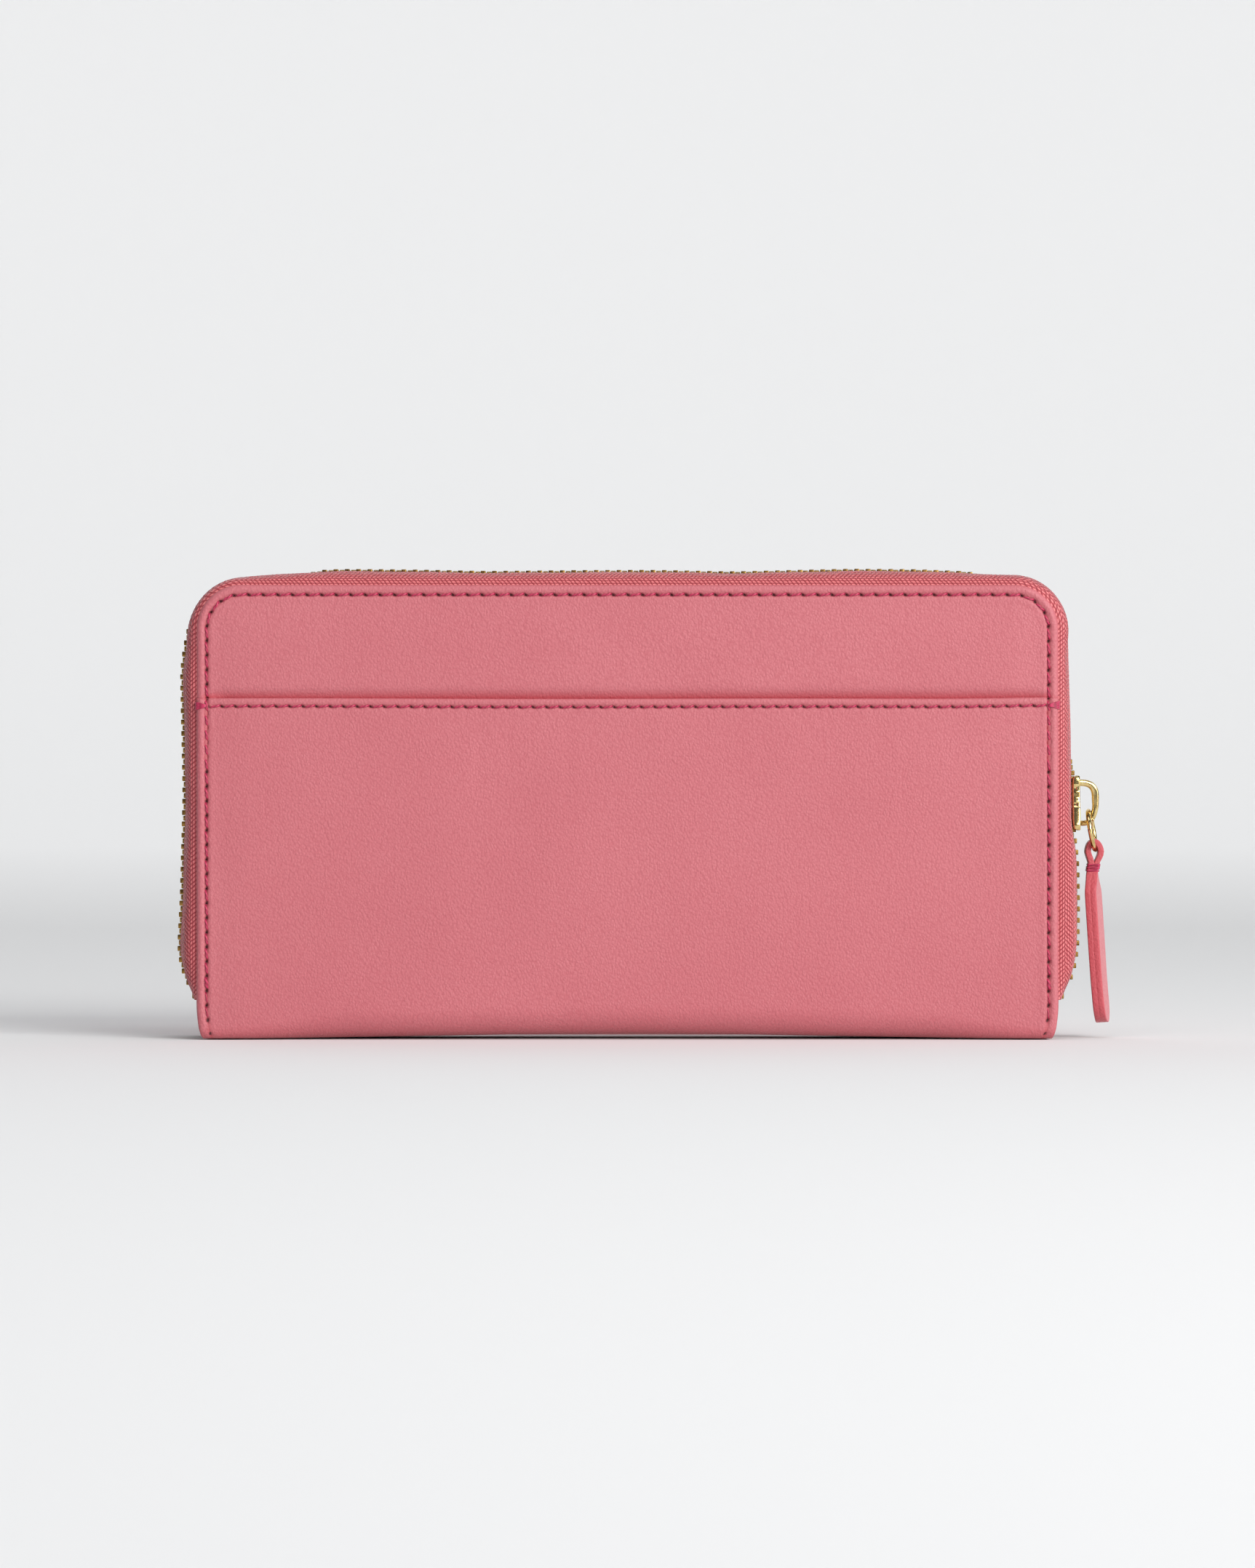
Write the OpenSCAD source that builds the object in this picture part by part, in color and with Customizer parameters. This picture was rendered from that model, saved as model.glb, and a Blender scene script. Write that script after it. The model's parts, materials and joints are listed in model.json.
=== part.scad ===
// Zip-around continental wallet, standing on its spine with the zip closed as far as the slider.
// X runs along the spine and Z is up. The back cover, with the slip pocket, faces -Y.
// The origin is on the flat base of the spine, in the middle plane of the zip.
// Each cover hinges along X just above the spine's side wall, in the fold of the leather.

/* [Covers] */
// Length of the wallet along its spine
wallet_w = 195; // [162:1:235]
// Height of the wallet from the base of the spine to the top edge of the covers
wallet_h = 103; // [85:1:124]
// Radius of the two top corners of each cover
corner_r = 10; // [8:0.5:14]
// Thickness of the outer leather
leather_t = 1.0; // [0.8:0.05:1.2]
// Thickness of the stiffening boards
board_t = 0.8; // [0.66:0.02:1.1]
// How far the boards stop short of the leather's edge
board_inset = 5.0; // [4.8:0.1:7]
// Thickness of the lining
lining_t = 0.4; // [0.3:0.05:0.5]
// How far the lining stops short of the leather's edge
lining_inset = 1.0; // [0.8:0.1:2]
// Width of a turned edge that a seam runs through
turned_w = 2.3; // [1.8:0.1:3]

/* [Spine] */
// Radius of the two long rounded edges of the spine
spine_r = 6.0; // [4:0.5:6.5]
// Height of the spine's side walls
spine_h = 6.7; // [6.6:0.1:8]
// Height of the fold between the spine and a cover
fold_h = 0.8; // [0.6:0.1:1.5]
// How far the spine board stops short of the wallet's end
spine_board_inset = 5.5; // [4:0.5:12]

/* [Slip pocket] */
// Depth of the pocket's mouth below the top edge
mouth_drop = 25.7; // [18:0.1:40]
// Room between the pocket and the back panel
pocket_gap = 0.3; // [0.2:0.1:1]
// Distance of the mouth's seam below the mouth
mouth_seam_drop = 1.9; // [1.2:0.1:3]

/* [Card slots and bill pockets] */
// Thickness of one card strip
strip_t = 0.45; // [0.35:0.05:0.55]
// Height of each card strip above the next one in front of it
strip_step = 12; // [9:0.5:13]
// Depth of the tallest card strip below the top edge
strip_drop = 25; // [22:0.5:30]
// How far the card strips stop short of the wallet's end
strip_inset = 6.5; // [6:0.1:9]
// Thickness of the bill pocket's panel
bill_t = 0.5; // [0.4:0.05:0.6]
// Depth of the bill pocket's mouth below the top edge
bill_drop = 15; // [12:0.5:18]
// How far the bill pocket stops short of the wallet's end
bill_inset = 5.0; // [4.6:0.1:5.4]
// Room between the bill pocket and the lining
bill_gap = 0.3; // [0.2:0.05:0.5]
// Room between the card strips and the coin pocket
bay_gap = 4.45; // [4.3:0.05:6]

/* [Coin pocket] */
// Inside thickness of the coin pocket
coin_gap = 4.4; // [4.2:0.1:6]
// Wall of the coin pocket
coin_wall = 0.6; // [0.5:0.05:0.8]
// Depth of the coin pocket's rim below the top edge
coin_drop = 27; // [25:0.5:32]
// How far the coin pocket stops short of the wallet's end
coin_inset = 9.5; // [8.5:0.1:14]
// Height of the coin zip above the pocket's rim
coin_zip_rise = 7.5; // [7:0.1:9]
// Height that the coin zip's tape is sewn to the pocket
coin_tape_sewn = 4.0; // [3:0.5:6]
// Height of the coin zip's flare out from the pocket's wall
coin_flare_w = 2.6; // [2.4:0.1:3.2]

/* [Gussets] */
// Thickness of the gusset leather
gusset_t = 0.4; // [0.3:0.05:0.5]
// Depth of a gusset's fold from the wallet's end
gusset_fold = 29.5; // [20:0.5:32]
// Room between a gusset and the leather beside it
gusset_play = 0.25; // [0.22:0.01:0.4]

/* [Main zip] */
// Thickness of the zip tape
tape_t = 0.6; // [0.4:0.05:0.72]
// Width of the tape that is sewn between the leather and the lining
tape_sewn = 4.5; // [3:0.1:4.5]
// Height of the chain above the covers' edge
chain_out = 3.2; // [2.6:0.1:3.9]
// Distance from the middle plane to where the tape bends down to the cover
tape_bend = 6.3; // [6.1:0.1:7]
// Distance from the middle plane to the tape's inner edge
tape_edge = 1.2; // [1.1:0.05:1.3]
// Pitch of the teeth on one tape
tooth_pitch = 2.6; // [2.5:0.05:3.2]
// Length of a tooth along the chain
tooth_len = 1.0; // [0.8:0.05:1.1]
// Thickness of a tooth through the tape
tooth_h = 2.2; // [1.8:0.05:2.5]
// Half width of the closed chain
chain_half = 3.0; // [2.8:0.1:3.3]
// How far a tooth reaches past the middle plane
tooth_reach = 0.8; // [0.6:0.05:0.85]
// How far each open chain stands back from its closed place
chain_spread = 1.8; // [1.5:0.1:2.2]
// Height of the zip's lower ends above the base
zip_end_z = 9.0; // [8.6:0.1:12]
// Length of an end stop along the chain
stop_len = 2.0; // [1.5:0.1:2.4]

/* [Slider] */
// Length of the slider
slider_len = 12.5; // [11:0.1:14]
// Height of the slider's middle above the base
slider_z = 53.6; // [50.2:0.1:68]
// Thickness of each slider plate
plate_t = 1.0; // [0.8:0.05:1.2]
// Width of the slider's side flanges
flange_w = 0.8; // [0.6:0.05:1]
// Clearance of the slider around the chain and the tape
slider_clear = 0.2; // [0.12:0.01:0.25]
// Height of the bridge above the slider's plate
bridge_h = 4.5; // [4.2:0.1:5.4]
// Length of the bridge along the slider
bridge_len = 10.7; // [10:0.1:11]
// Thickness of the bridge
bridge_t = 1.4; // [1:0.05:1.5]
// Width of the bridge
bridge_w = 2.2; // [1.6:0.1:2.6]
// Radius inside the bridge's corners
bridge_r = 2.0; // [1:0.1:2.4]

/* [Pull] */
// Outside diameter of the jump ring
ring_d = 10.1; // [9.5:0.1:12]
// Diameter of the ring's wire
ring_wire = 1.1; // [0.9:0.05:1.2]
// Play of the ring's wire in the corner of the bridge
ring_play = 0.35; // [0.3:0.01:0.5]
// Height of the ring's wire above the foot of the bridge's window
ring_rise = 2.1; // [1.9:0.1:3]
// Lean of the hanging ring away from the wallet, in degrees
ring_lean = 10; // [6:1:14]
// Length of the pull tab below the ring's wire
tab_len = 39.4; // [30:0.1:42.4]
// Width of the pull tab
tab_w = 10; // [8:0.1:12]
// Thickness of the folded tab
tab_t = 2.6; // [2:0.1:3]
// Width of the tab's neck inside the ring
neck_w = 4.0; // [3:0.1:4.4]
// Thickness of the leather around the ring's wire
neck_t = 0.9; // [0.7:0.05:1.1]
// Room between the ring's wire and the leather around it
neck_play = 0.13; // [0.12:0.01:0.3]
// Length over which the tab widens below its neck
shoulder_len = 3.5; // [2:0.1:5]
// Distance of the bar tack below the leather loop
tack_drop = 1.2; // [0.8:0.1:2]
// Lean of the hanging tab away from the wallet, in degrees
tab_lean = 3.7; // [2:0.1:6]

/* [Coin zip] */
// Distance of the coin slider from the end of the coin pocket
coin_slider_inset = 18; // [16:0.5:40]
// Distance from the other end of the coin pocket to the first tooth
coin_chain_inset = 8; // [6:0.5:14]
// Distance from the middle plane to the coin tape's inner edge
coin_edge = 1.0; // [0.9:0.05:1.1]
// How far a coin zip tooth reaches past the middle plane
coin_reach = 0.6; // [0.5:0.05:0.65]
// How far each open coin chain stands back from its closed place
coin_spread = 1.1; // [1:0.05:1.3]
// Pitch of the coin zip's teeth on one tape
coin_pitch = 2.2; // [2.1:0.05:2.8]
// Length of a coin zip tooth along the chain
coin_tooth_len = 0.8; // [0.6:0.05:0.9]
// Thickness of a coin zip tooth through the tape
coin_tooth_h = 1.7; // [1.4:0.05:1.8]
// Half width of the closed coin chain
coin_chain_half = 2.2; // [2:0.1:2.4]
// Length of the coin slider
coin_slider_len = 9.0; // [8:0.1:10]
// Thickness of each coin slider plate
coin_plate_t = 0.8; // [0.6:0.05:0.9]
// Width of the coin slider's side flanges
coin_flange_w = 0.6; // [0.5:0.05:0.7]
// Height of the coin slider's bridge
coin_bridge_h = 2.8; // [2.6:0.1:3.2]
// Length of the coin slider's bridge
coin_bridge_len = 6.5; // [6:0.1:7]
// Thickness of the coin slider's bridge
coin_bridge_t = 1.0; // [0.8:0.05:1.1]
// Width of the coin slider's bridge
coin_bridge_w = 1.6; // [1.2:0.1:1.8]
// Length of the coin slider's pull
coin_pull_len = 14; // [10:0.5:14.5]
// Width of the coin slider's pull
coin_pull_w = 4.4; // [4:0.1:5]
// Thickness of the coin slider's pull
coin_pull_t = 1.1; // [0.9:0.05:1.2]
// Room between the coin slider's pull and its bridge
coin_pull_play = 0.3; // [0.25:0.01:0.35]

/* [Stitching] */
// Pitch of the stitches
stitch_pitch = 3.3; // [2.8:0.05:4]
// Length of one stitch
stitch_len = 2.5; // [2:0.05:2.6]
// Width of the sewing thread
thread_w = 0.55; // [0.4:0.05:0.7]
// Height of a stitch above the leather
thread_h = 0.2; // [0.1:0.05:0.3]
// Slant of a stitch to its seam, in degrees
stitch_slant = 8; // [0:1:12]

/* [Hidden] */
$fn = 48;

pink = "#d98991";
deep_pink = "#c9606c";
wine = "#8a2740";
blush = "#c98f8f";
gold = "#d9b163";
card = "#b9a892";

// Distances from the middle plane to each layer of a cover, from the inside out.
coin_half = coin_gap / 2 + coin_wall;
strips_y = coin_half + bay_gap;
bill_y = strips_y + 3 * strip_t;
lining_y = bill_y + bill_t + bill_gap;
board_y = lining_y + lining_t;
panel_y = board_y + board_t;
front_y = panel_y + leather_t;
pocket_y = front_y + pocket_gap;
back_y = pocket_y + leather_t;

cover_z = spine_h + fold_h;
mouth_z = wallet_h - mouth_drop;
half_w = wallet_w / 2;
spine_floor = leather_t + board_t;
inner_z = cover_z + 2;

// The slider stands in the chain's plane on the right-hand side.
chain_x = half_w + chain_out;
plate_in = tooth_h / 2 + slider_clear;
plate_out = plate_in + plate_t;
slot_half = tape_t / 2 + slider_clear;
// The two chains part inside the slider between these shares of its length from its middle.
part_start = 0.1;
part_end = -0.4;
spread_top = slider_z + part_start * slider_len;
spread_low = slider_z + part_end * slider_len;

// The ring turns about its own wire, where the wire rests in the corner of the bridge.
ring_r = (ring_d - ring_wire) / 2;
bridge_in = chain_x + plate_out + bridge_h - bridge_t;
ring_x = bridge_in - ring_wire / 2 - ring_play;
ring_z = slider_z - bridge_len / 2 + bridge_t + ring_rise;
tab_x = ring_x + 2 * ring_r * sin(ring_lean);
tab_z = ring_z - 2 * ring_r * cos(ring_lean);
neck_bore = ring_wire / 2 + ring_r - sqrt(ring_r * ring_r - neck_w * neck_w / 4) + neck_play;
neck_r = neck_bore + neck_t;

coin_half_len = half_w - coin_inset;
coin_rim_z = wallet_h - coin_drop;
coin_chain_z = coin_rim_z + coin_zip_rise;
coin_tape_y = coin_half + tape_t / 2;
coin_flare = coin_half + coin_flare_w;
coin_slider_x = coin_half_len - coin_slider_inset;
coin_start_x = coin_chain_inset - coin_half_len;
coin_end_x = coin_slider_x - part_start * coin_slider_len - coin_tooth_len;
coin_plate_out = coin_tooth_h / 2 + slider_clear + coin_plate_t;
coin_window = coin_bridge_len / 2 - coin_bridge_t;

// Length that a cutting shape runs past what it cuts.
overcut = 1;
// Room on each side of a tape in the jaws of a tooth.
grip = 0.02;
// How much deeper a tooth's jaws are than the tape in them.
jaw_room = 0.3;
// Distance of an end stop from the middle plane.
stop_edge = 0.2;
// Length of a coin zip's end stop.
coin_stop_len = 1.6;

// ---- outlines -------------------------------------------------------------------------------

function unit(v) = v / norm(v);
function left_of(v) = [-v[1], v[0]];
function edge_normal(p, i) = left_of(unit(p[i + 1] - p[i]));
function corner_normal(p, i) =
    i == 0 ? edge_normal(p, 0)
    : i == len(p) - 1 ? edge_normal(p, i - 1)
    : let (a = edge_normal(p, i - 1), b = edge_normal(p, i)) (a + b) / (1 + a * b);
// Outline of a strip of thickness t that follows the line of points p.
function ribbon(p, t) = concat(
    [for (i = [0 : len(p) - 1]) p[i] + corner_normal(p, i) * t / 2],
    [for (i = [len(p) - 1 : -1 : 0]) p[i] - corner_normal(p, i) * t / 2]);

// Cover outline with round top corners, as [x, z].
module cover_outline(inset, z0) {
    r = corner_r - inset;
    x = half_w - inset;
    z = wallet_h - inset;
    translate([-x, z0]) square([2 * x, z - r - z0]);
    translate([r - x, z - r - overcut]) square([2 * (x - r), r + overcut]);
    for (side = [-1, 1]) translate([side * (x - r), z - r]) circle(r);
}

module box_outline(x, z0, z1) {
    translate([-x, z0]) square([2 * x, z1 - z0]);
}

module round_box(x0, x1, z0, z1, r) {
    translate([x0 + r, z0]) square([x1 - x0 - 2 * r, z1 - z0]);
    translate([x0, z0 + r]) square([x1 - x0, z1 - z0 - 2 * r]);
    for (x = [x0 + r, x1 - r], z = [z0 + r, z1 - r]) translate([x, z]) circle(r);
}

// Section of the spine as [y, z]: flat base, two rounded edges and two side walls.
module spine_section(grow, top) {
    y0 = -back_y - grow;
    y1 = front_y + grow;
    r = spine_r + grow;
    translate([y0 + r, spine_r - r]) square([y1 - y0 - 2 * r, top - spine_r + r]);
    translate([y0, spine_r]) square([y1 - y0, top - spine_r]);
    intersection() {
        for (y = [y0 + r, y1 - r]) translate([y, spine_r]) circle(r);
        translate([y0, -spine_r]) square([y1 - y0, 2 * spine_r]);
    }
}

// Stands an [x, z] outline up as a plate from y0 to y1.
module plate(y0, y1) {
    translate([0, y1, 0]) rotate([90, 0, 0]) linear_extrude(y1 - y0) children();
}

// Runs a [y, z] outline along X from x0 to x1.
module along_x(x0, x1) {
    translate([x0, 0, 0]) rotate([90, 0, 90]) linear_extrude(x1 - x0) children();
}

module back_side() {
    mirror([0, 1, 0]) children();
}

// ---- the path round a cover's edge ----------------------------------------------------------

// Point on a line that keeps a distance out from the cover's edge, at a length s from the
// lower right end: [x, z, direction that faces outwards in degrees].
function edge_leg(z0) = wallet_h - corner_r - z0;
function edge_arc(out) = (corner_r + out) * PI / 2;
function edge_length(out, z0) = 2 * edge_leg(z0) + 2 * edge_arc(out) + wallet_w - 2 * corner_r;
function corner_point(side, out, a) =
    [side * (half_w - corner_r) + (corner_r + out) * cos(a), wallet_h - corner_r + (corner_r + out) * sin(a), a];
function edge_point(s, out, z0) =
    let (leg = edge_leg(z0), arc = edge_arc(out), top = wallet_w - 2 * corner_r)
    s < leg ? [half_w + out, z0 + s, 0]
    : s < leg + arc ? corner_point(1, out, 90 * (s - leg) / arc)
    : s < leg + arc + top ? [half_w - corner_r - (s - leg - arc), wallet_h + out, 90]
    : s < leg + 2 * arc + top ? corner_point(-1, out, 90 + 90 * (s - leg - arc - top) / arc)
    : [-half_w - out, wallet_h - corner_r - (s - leg - 2 * arc - top), 180];

module at_edge(p, y) {
    translate([p[0], y, p[1]]) rotate([0, -p[2], 0]) children();
}

module edge_leg_run(z0, z1) {
    translate([half_w, 0, z0]) linear_extrude(z1 - z0) children();
}

module edge_corner_run() {
    translate([half_w - corner_r, 0, wallet_h - corner_r]) rotate([90, 0, 0])
        rotate_extrude(angle = 90) translate([corner_r, 0]) mirror([0, 1]) children();
}

module edge_top_run() {
    translate([half_w - corner_r, 0, wallet_h]) rotate([0, -90, 0])
        linear_extrude(wallet_w - 2 * corner_r) children();
}

// ---- zip parts ------------------------------------------------------------------------------

// Section of the main tape as [distance out, y], from the seam to the chain.
module tape_section(inner_edge) {
    sewn_y = board_y + board_t - tape_t / 2;
    polygon(ribbon([[-tape_sewn, sewn_y], [0, sewn_y], [chain_out, tape_bend], [chain_out, inner_edge]], tape_t));
}

module main_tape() {
    edge_leg_run(spread_top, wallet_h - corner_r) tape_section(tape_edge);
    edge_leg_run(zip_end_z, spread_top) tape_section(chain_half);
    edge_corner_run() tape_section(tape_edge);
    edge_top_run() tape_section(tape_edge);
    mirror([1, 0, 0]) {
        edge_corner_run() tape_section(tape_edge);
        edge_leg_run(zip_end_z, wallet_h - corner_r) tape_section(tape_edge);
    }
}

// One tooth that grips a tape: its root is at y = root and its head reaches past y = 0.
module tooth(length, height, root, edge, reach) {
    h = height / 2;
    slot = tape_t / 2 + grip;
    bevel = height / 8;
    linear_extrude(length, center = true)
        polygon([[-h, root], [-slot, root], [-slot, edge], [slot, edge], [slot, root], [h, root],
            [h, 2 * bevel - reach], [h - bevel, -reach], [bevel - h, -reach], [-h, 2 * bevel - reach]]);
}

// How far the open chain stands back from the middle plane at a place p on the edge.
function spread_at(p) =
    p[0] < 0 || p[1] > spread_top ? 0
    : chain_spread * min(1, (spread_top - p[1]) / (spread_top - spread_low));

module main_teeth(phase) {
    total = edge_length(chain_out, zip_end_z);
    count = floor((total - 2 * stop_len) / tooth_pitch) - 1;
    first = (total - (count - 1) * tooth_pitch) / 2 + phase * tooth_pitch;
    for (i = [0 : count - 1]) {
        p = edge_point(first + i * tooth_pitch, chain_out, zip_end_z);
        at_edge(p, spread_at(p)) tooth(tooth_len, tooth_h, chain_half, tape_edge - jaw_room, tooth_reach);
    }
}

module main_stops() {
    total = edge_length(chain_out, zip_end_z);
    for (s = [stop_len / 2, total - stop_len / 2]) {
        p = edge_point(s, chain_out, zip_end_z);
        at_edge(p, spread_at(p)) tooth(stop_len, tooth_h, chain_half, tape_edge - jaw_room, -stop_edge);
    }
}

// Outline of a slider's plate or channel as [y, z], with the wide mouth at the lower end.
module slider_outline(length, top, mouth, over) {
    end = length / 2 + over;
    wide = part_end * length;
    narrow = part_start * length;
    polygon([[-top, end], [top, end], [top, narrow], [mouth, wide], [mouth, -end],
        [-mouth, -end], [-mouth, wide], [-top, narrow]]);
}

// Slider about its own centre: X faces out of the chain, Z points to the closed chain.
module slider_shell(length, half_chain, spread, reach, height, shell_t, flange) {
    top = half_chain + slider_clear;
    mouth = half_chain + spread + slider_clear;
    channel = height / 2 + slider_clear;
    for (side = [0, 1]) mirror([side, 0, 0]) difference() {
        along_x(slot_half, channel + shell_t) slider_outline(length, top + flange, mouth + flange, 0);
        along_x(slot_half - overcut, channel) slider_outline(length, top, mouth, overcut);
    }
    post = spread - reach - slider_clear;
    tip = part_end / 2 * length;
    wide = part_end * length;
    along_x(-channel - shell_t / 2, channel + shell_t / 2)
        polygon([[0, tip], [post, wide], [post / 2, -length / 2], [-post / 2, -length / 2], [-post, wide]]);
}

// Loop on a slider's plate, with its feet on the plane x = foot.
module slider_loop(foot, height, length, thick, width, round_r) {
    plate(-width / 2, width / 2) difference() {
        intersection() {
            round_box(foot - height, foot + height, -length / 2, length / 2, round_r + thick);
            translate([foot, -length / 2]) square([height, length]);
        }
        round_box(foot - height, foot + height - thick, thick - length / 2, length / 2 - thick, round_r);
    }
}

module coin_tape() {
    along_x(-coin_half_len, coin_half_len)
        polygon(ribbon([[coin_edge, coin_chain_z], [coin_flare, coin_chain_z], [coin_tape_y, coin_rim_z + 1],
            [coin_tape_y, coin_rim_z - coin_tape_sewn]], tape_t));
}

// Places a zip part that was made for an upright chain on the flat coin chain at a distance x.
module on_coin_chain(x) {
    translate([x, 0, coin_chain_z]) rotate([0, -90, 0]) children();
}

module coin_teeth(phase) {
    count = floor((coin_end_x - coin_start_x) / coin_pitch);
    for (i = [0 : count - 1])
        on_coin_chain(coin_start_x + (i + phase) * coin_pitch)
            tooth(coin_tooth_len, coin_tooth_h, coin_chain_half, coin_edge - jaw_room, coin_reach);
}

// ---- soft pieces ----------------------------------------------------------------------------

// A pocket front: a sheet that stands off its backing and is turned in on its sides and foot.
module pocket_front(x, z0, z1, y_back, y_sheet, sheet_t) {
    y_out = y_sheet + sheet_t;
    plate(min(y_sheet, y_out), max(y_sheet, y_out)) box_outline(x, z0, z1);
    plate(min(y_back, y_sheet), max(y_back, y_sheet)) difference() {
        box_outline(x, z0, z1);
        box_outline(x - turned_w, z0 + turned_w, z1 + overcut);
    }
}

module card_strip(number) {
    depth = bill_y - number * strip_t;
    top = wallet_h - strip_drop - (number - 1) * strip_step;
    plate(depth, depth + strip_t) box_outline(half_w - strip_inset, inner_z, top);
}

// Line of a gusset seen from above, as [x, y]: sewn to the lining, folded in, sewn to the pouch.
function gusset_line() =
    let (flat_y = lining_y - gusset_t / 2, out_y = strips_y - gusset_play - gusset_t / 2,
        in_y = coin_tape_y + tape_t / 2 + gusset_play + gusset_t / 2, fold_y = (out_y + in_y) / 2,
        seam_x = half_w - lining_inset, bend_x = half_w - bill_inset + gusset_play + 2 * gusset_t,
        end_x = coin_half_len + gusset_t / 2)
    [[seam_x, flat_y], [bend_x, flat_y], [bend_x - gusset_t, out_y],
        [half_w - gusset_fold, fold_y + gusset_t], [half_w - gusset_fold, fold_y - gusset_t],
        [end_x + turned_w / 2, in_y], [end_x, coin_half], [end_x, gusset_t]];

module gusset() {
    translate([0, 0, inner_z]) linear_extrude(coin_rim_z - coin_tape_sewn - inner_z)
        polygon(ribbon(gusset_line(), gusset_t));
}

module stitch() {
    rotate([0, stitch_slant, 0]) cube([thread_w, thread_h, stitch_len], center = true);
}

// Seam round a cover's edge, on the leather at y_low below the height step_z and at y_high above.
module edge_seam(y_low, y_high, step_z) {
    total = edge_length(-turned_w, cover_z);
    count = floor(total / stitch_pitch);
    first = (total - (count - 1) * stitch_pitch) / 2;
    for (i = [0 : count - 1]) {
        p = edge_point(first + i * stitch_pitch, -turned_w, cover_z);
        at_edge(p, thread_h / 2 + (p[1] - stitch_len / 2 < step_z ? y_low : y_high)) stitch();
    }
}

// ---- core: spine, coin pocket, gussets ------------------------------------------------------

module spine_leather() {
    color(pink) along_x(-half_w, half_w) difference() {
        spine_section(0, spine_h);
        spine_section(-leather_t, spine_h + overcut);
    }
}

module spine_board() {
    color(card) along_x(spine_board_inset - half_w, half_w - spine_board_inset)
        translate([spine_r - back_y, leather_t]) square([back_y + front_y - 2 * spine_r, board_t]);
}

module coin_pocket_pouch() {
    x = coin_half_len;
    y = coin_gap / 2;
    color(blush) difference() {
        translate([-x, -coin_half, spine_floor]) cube([2 * x, 2 * coin_half, coin_rim_z - spine_floor]);
        translate([coin_wall - x, -y, spine_floor + coin_wall])
            cube([2 * (x - coin_wall), 2 * y, coin_rim_z - spine_floor]);
    }
}

module coin_zip_tape_back() {
    color(deep_pink) back_side() coin_tape();
}

module coin_zip_tape_front() {
    color(deep_pink) coin_tape();
}

module coin_zip_teeth_back() {
    color(gold) back_side() coin_teeth(0);
}

module coin_zip_teeth_front() {
    color(gold) coin_teeth(0.5);
}

module coin_zip_stops() {
    shut_x = coin_start_x - coin_pitch;
    open_x = coin_slider_x + coin_slider_len / 2 + coin_stop_len;
    color(gold) for (side = [0, 1], x = [shut_x, open_x]) mirror([0, side, 0]) on_coin_chain(x)
        tooth(coin_stop_len, coin_tooth_h, coin_chain_half, coin_edge - jaw_room, -stop_edge);
}

module gusset_back_left() {
    color(blush) mirror([1, 0, 0]) back_side() gusset();
}

module gusset_back_right() {
    color(blush) back_side() gusset();
}

module gusset_front_left() {
    color(blush) mirror([1, 0, 0]) gusset();
}

module gusset_front_right() {
    color(blush) gusset();
}

// ---- back cover -----------------------------------------------------------------------------

module cover_panel() {
    plate(panel_y, front_y) cover_outline(0, cover_z);
}

module cover_board() {
    plate(board_y, panel_y) cover_outline(board_inset, cover_z);
}

module cover_lining() {
    plate(lining_y, board_y) cover_outline(lining_inset, cover_z);
}

module bill_panel() {
    pocket_front(half_w - bill_inset, inner_z, wallet_h - bill_drop, lining_y, bill_y + bill_t, -bill_t);
}

module back_panel() {
    color(pink) back_side() cover_panel();
}

module slip_pocket_panel() {
    color(pink) back_side() pocket_front(half_w, cover_z, mouth_z, front_y, pocket_y, leather_t);
}

module back_board() {
    color(card) back_side() cover_board();
}

module back_lining() {
    color(blush) back_side() cover_lining();
}

module back_bill_panel() {
    color(blush) back_side() bill_panel();
}

module back_card_strip_1() {
    color(pink) back_side() card_strip(1);
}

module back_card_strip_2() {
    color(pink) back_side() card_strip(2);
}

module back_card_strip_3() {
    color(pink) back_side() card_strip(3);
}

module back_zip_tape() {
    color(deep_pink) back_side() main_tape();
}

module back_zip_teeth() {
    color(gold) back_side() main_teeth(0);
}

module back_zip_stops() {
    color(gold) back_side() main_stops();
}

module back_edge_stitching() {
    color(wine) back_side() edge_seam(back_y, front_y, mouth_z);
}

module slip_pocket_stitching() {
    x = half_w - turned_w - stitch_pitch;
    count = floor(2 * x / stitch_pitch);
    color(wine) back_side() for (i = [0 : count])
        translate([(i - count / 2) * stitch_pitch, back_y + thread_h / 2, mouth_z - mouth_seam_drop])
            rotate([0, 90, 0]) stitch();
}

// ---- front cover ----------------------------------------------------------------------------

module front_panel() {
    color(pink) cover_panel();
}

module front_board() {
    color(card) cover_board();
}

module front_lining() {
    color(blush) cover_lining();
}

module front_bill_panel() {
    color(blush) bill_panel();
}

module front_card_strip_1() {
    color(pink) card_strip(1);
}

module front_card_strip_2() {
    color(pink) card_strip(2);
}

module front_card_strip_3() {
    color(pink) card_strip(3);
}

module front_zip_tape() {
    color(deep_pink) main_tape();
}

module front_zip_teeth() {
    color(gold) main_teeth(0.5);
}

module front_zip_stops() {
    color(gold) main_stops();
}

module front_edge_stitching() {
    color(wine) edge_seam(front_y, front_y, mouth_z);
}

// ---- slider, ring and pull tab --------------------------------------------------------------

module slider_body() {
    color(gold) translate([chain_x, 0, slider_z])
        slider_shell(slider_len, chain_half, chain_spread, tooth_reach, tooth_h, plate_t, flange_w);
}

module slider_bridge() {
    color(gold) translate([chain_x, 0, slider_z])
        slider_loop(plate_out, bridge_h, bridge_len, bridge_t, bridge_w, bridge_r);
}

module pull_ring() {
    color(gold) translate([ring_x, 0, ring_z]) rotate([0, -ring_lean, 0]) translate([0, 0, -ring_r])
        rotate([0, 90, 0]) rotate_extrude() translate([ring_r, 0]) circle(ring_wire / 2);
}

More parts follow.
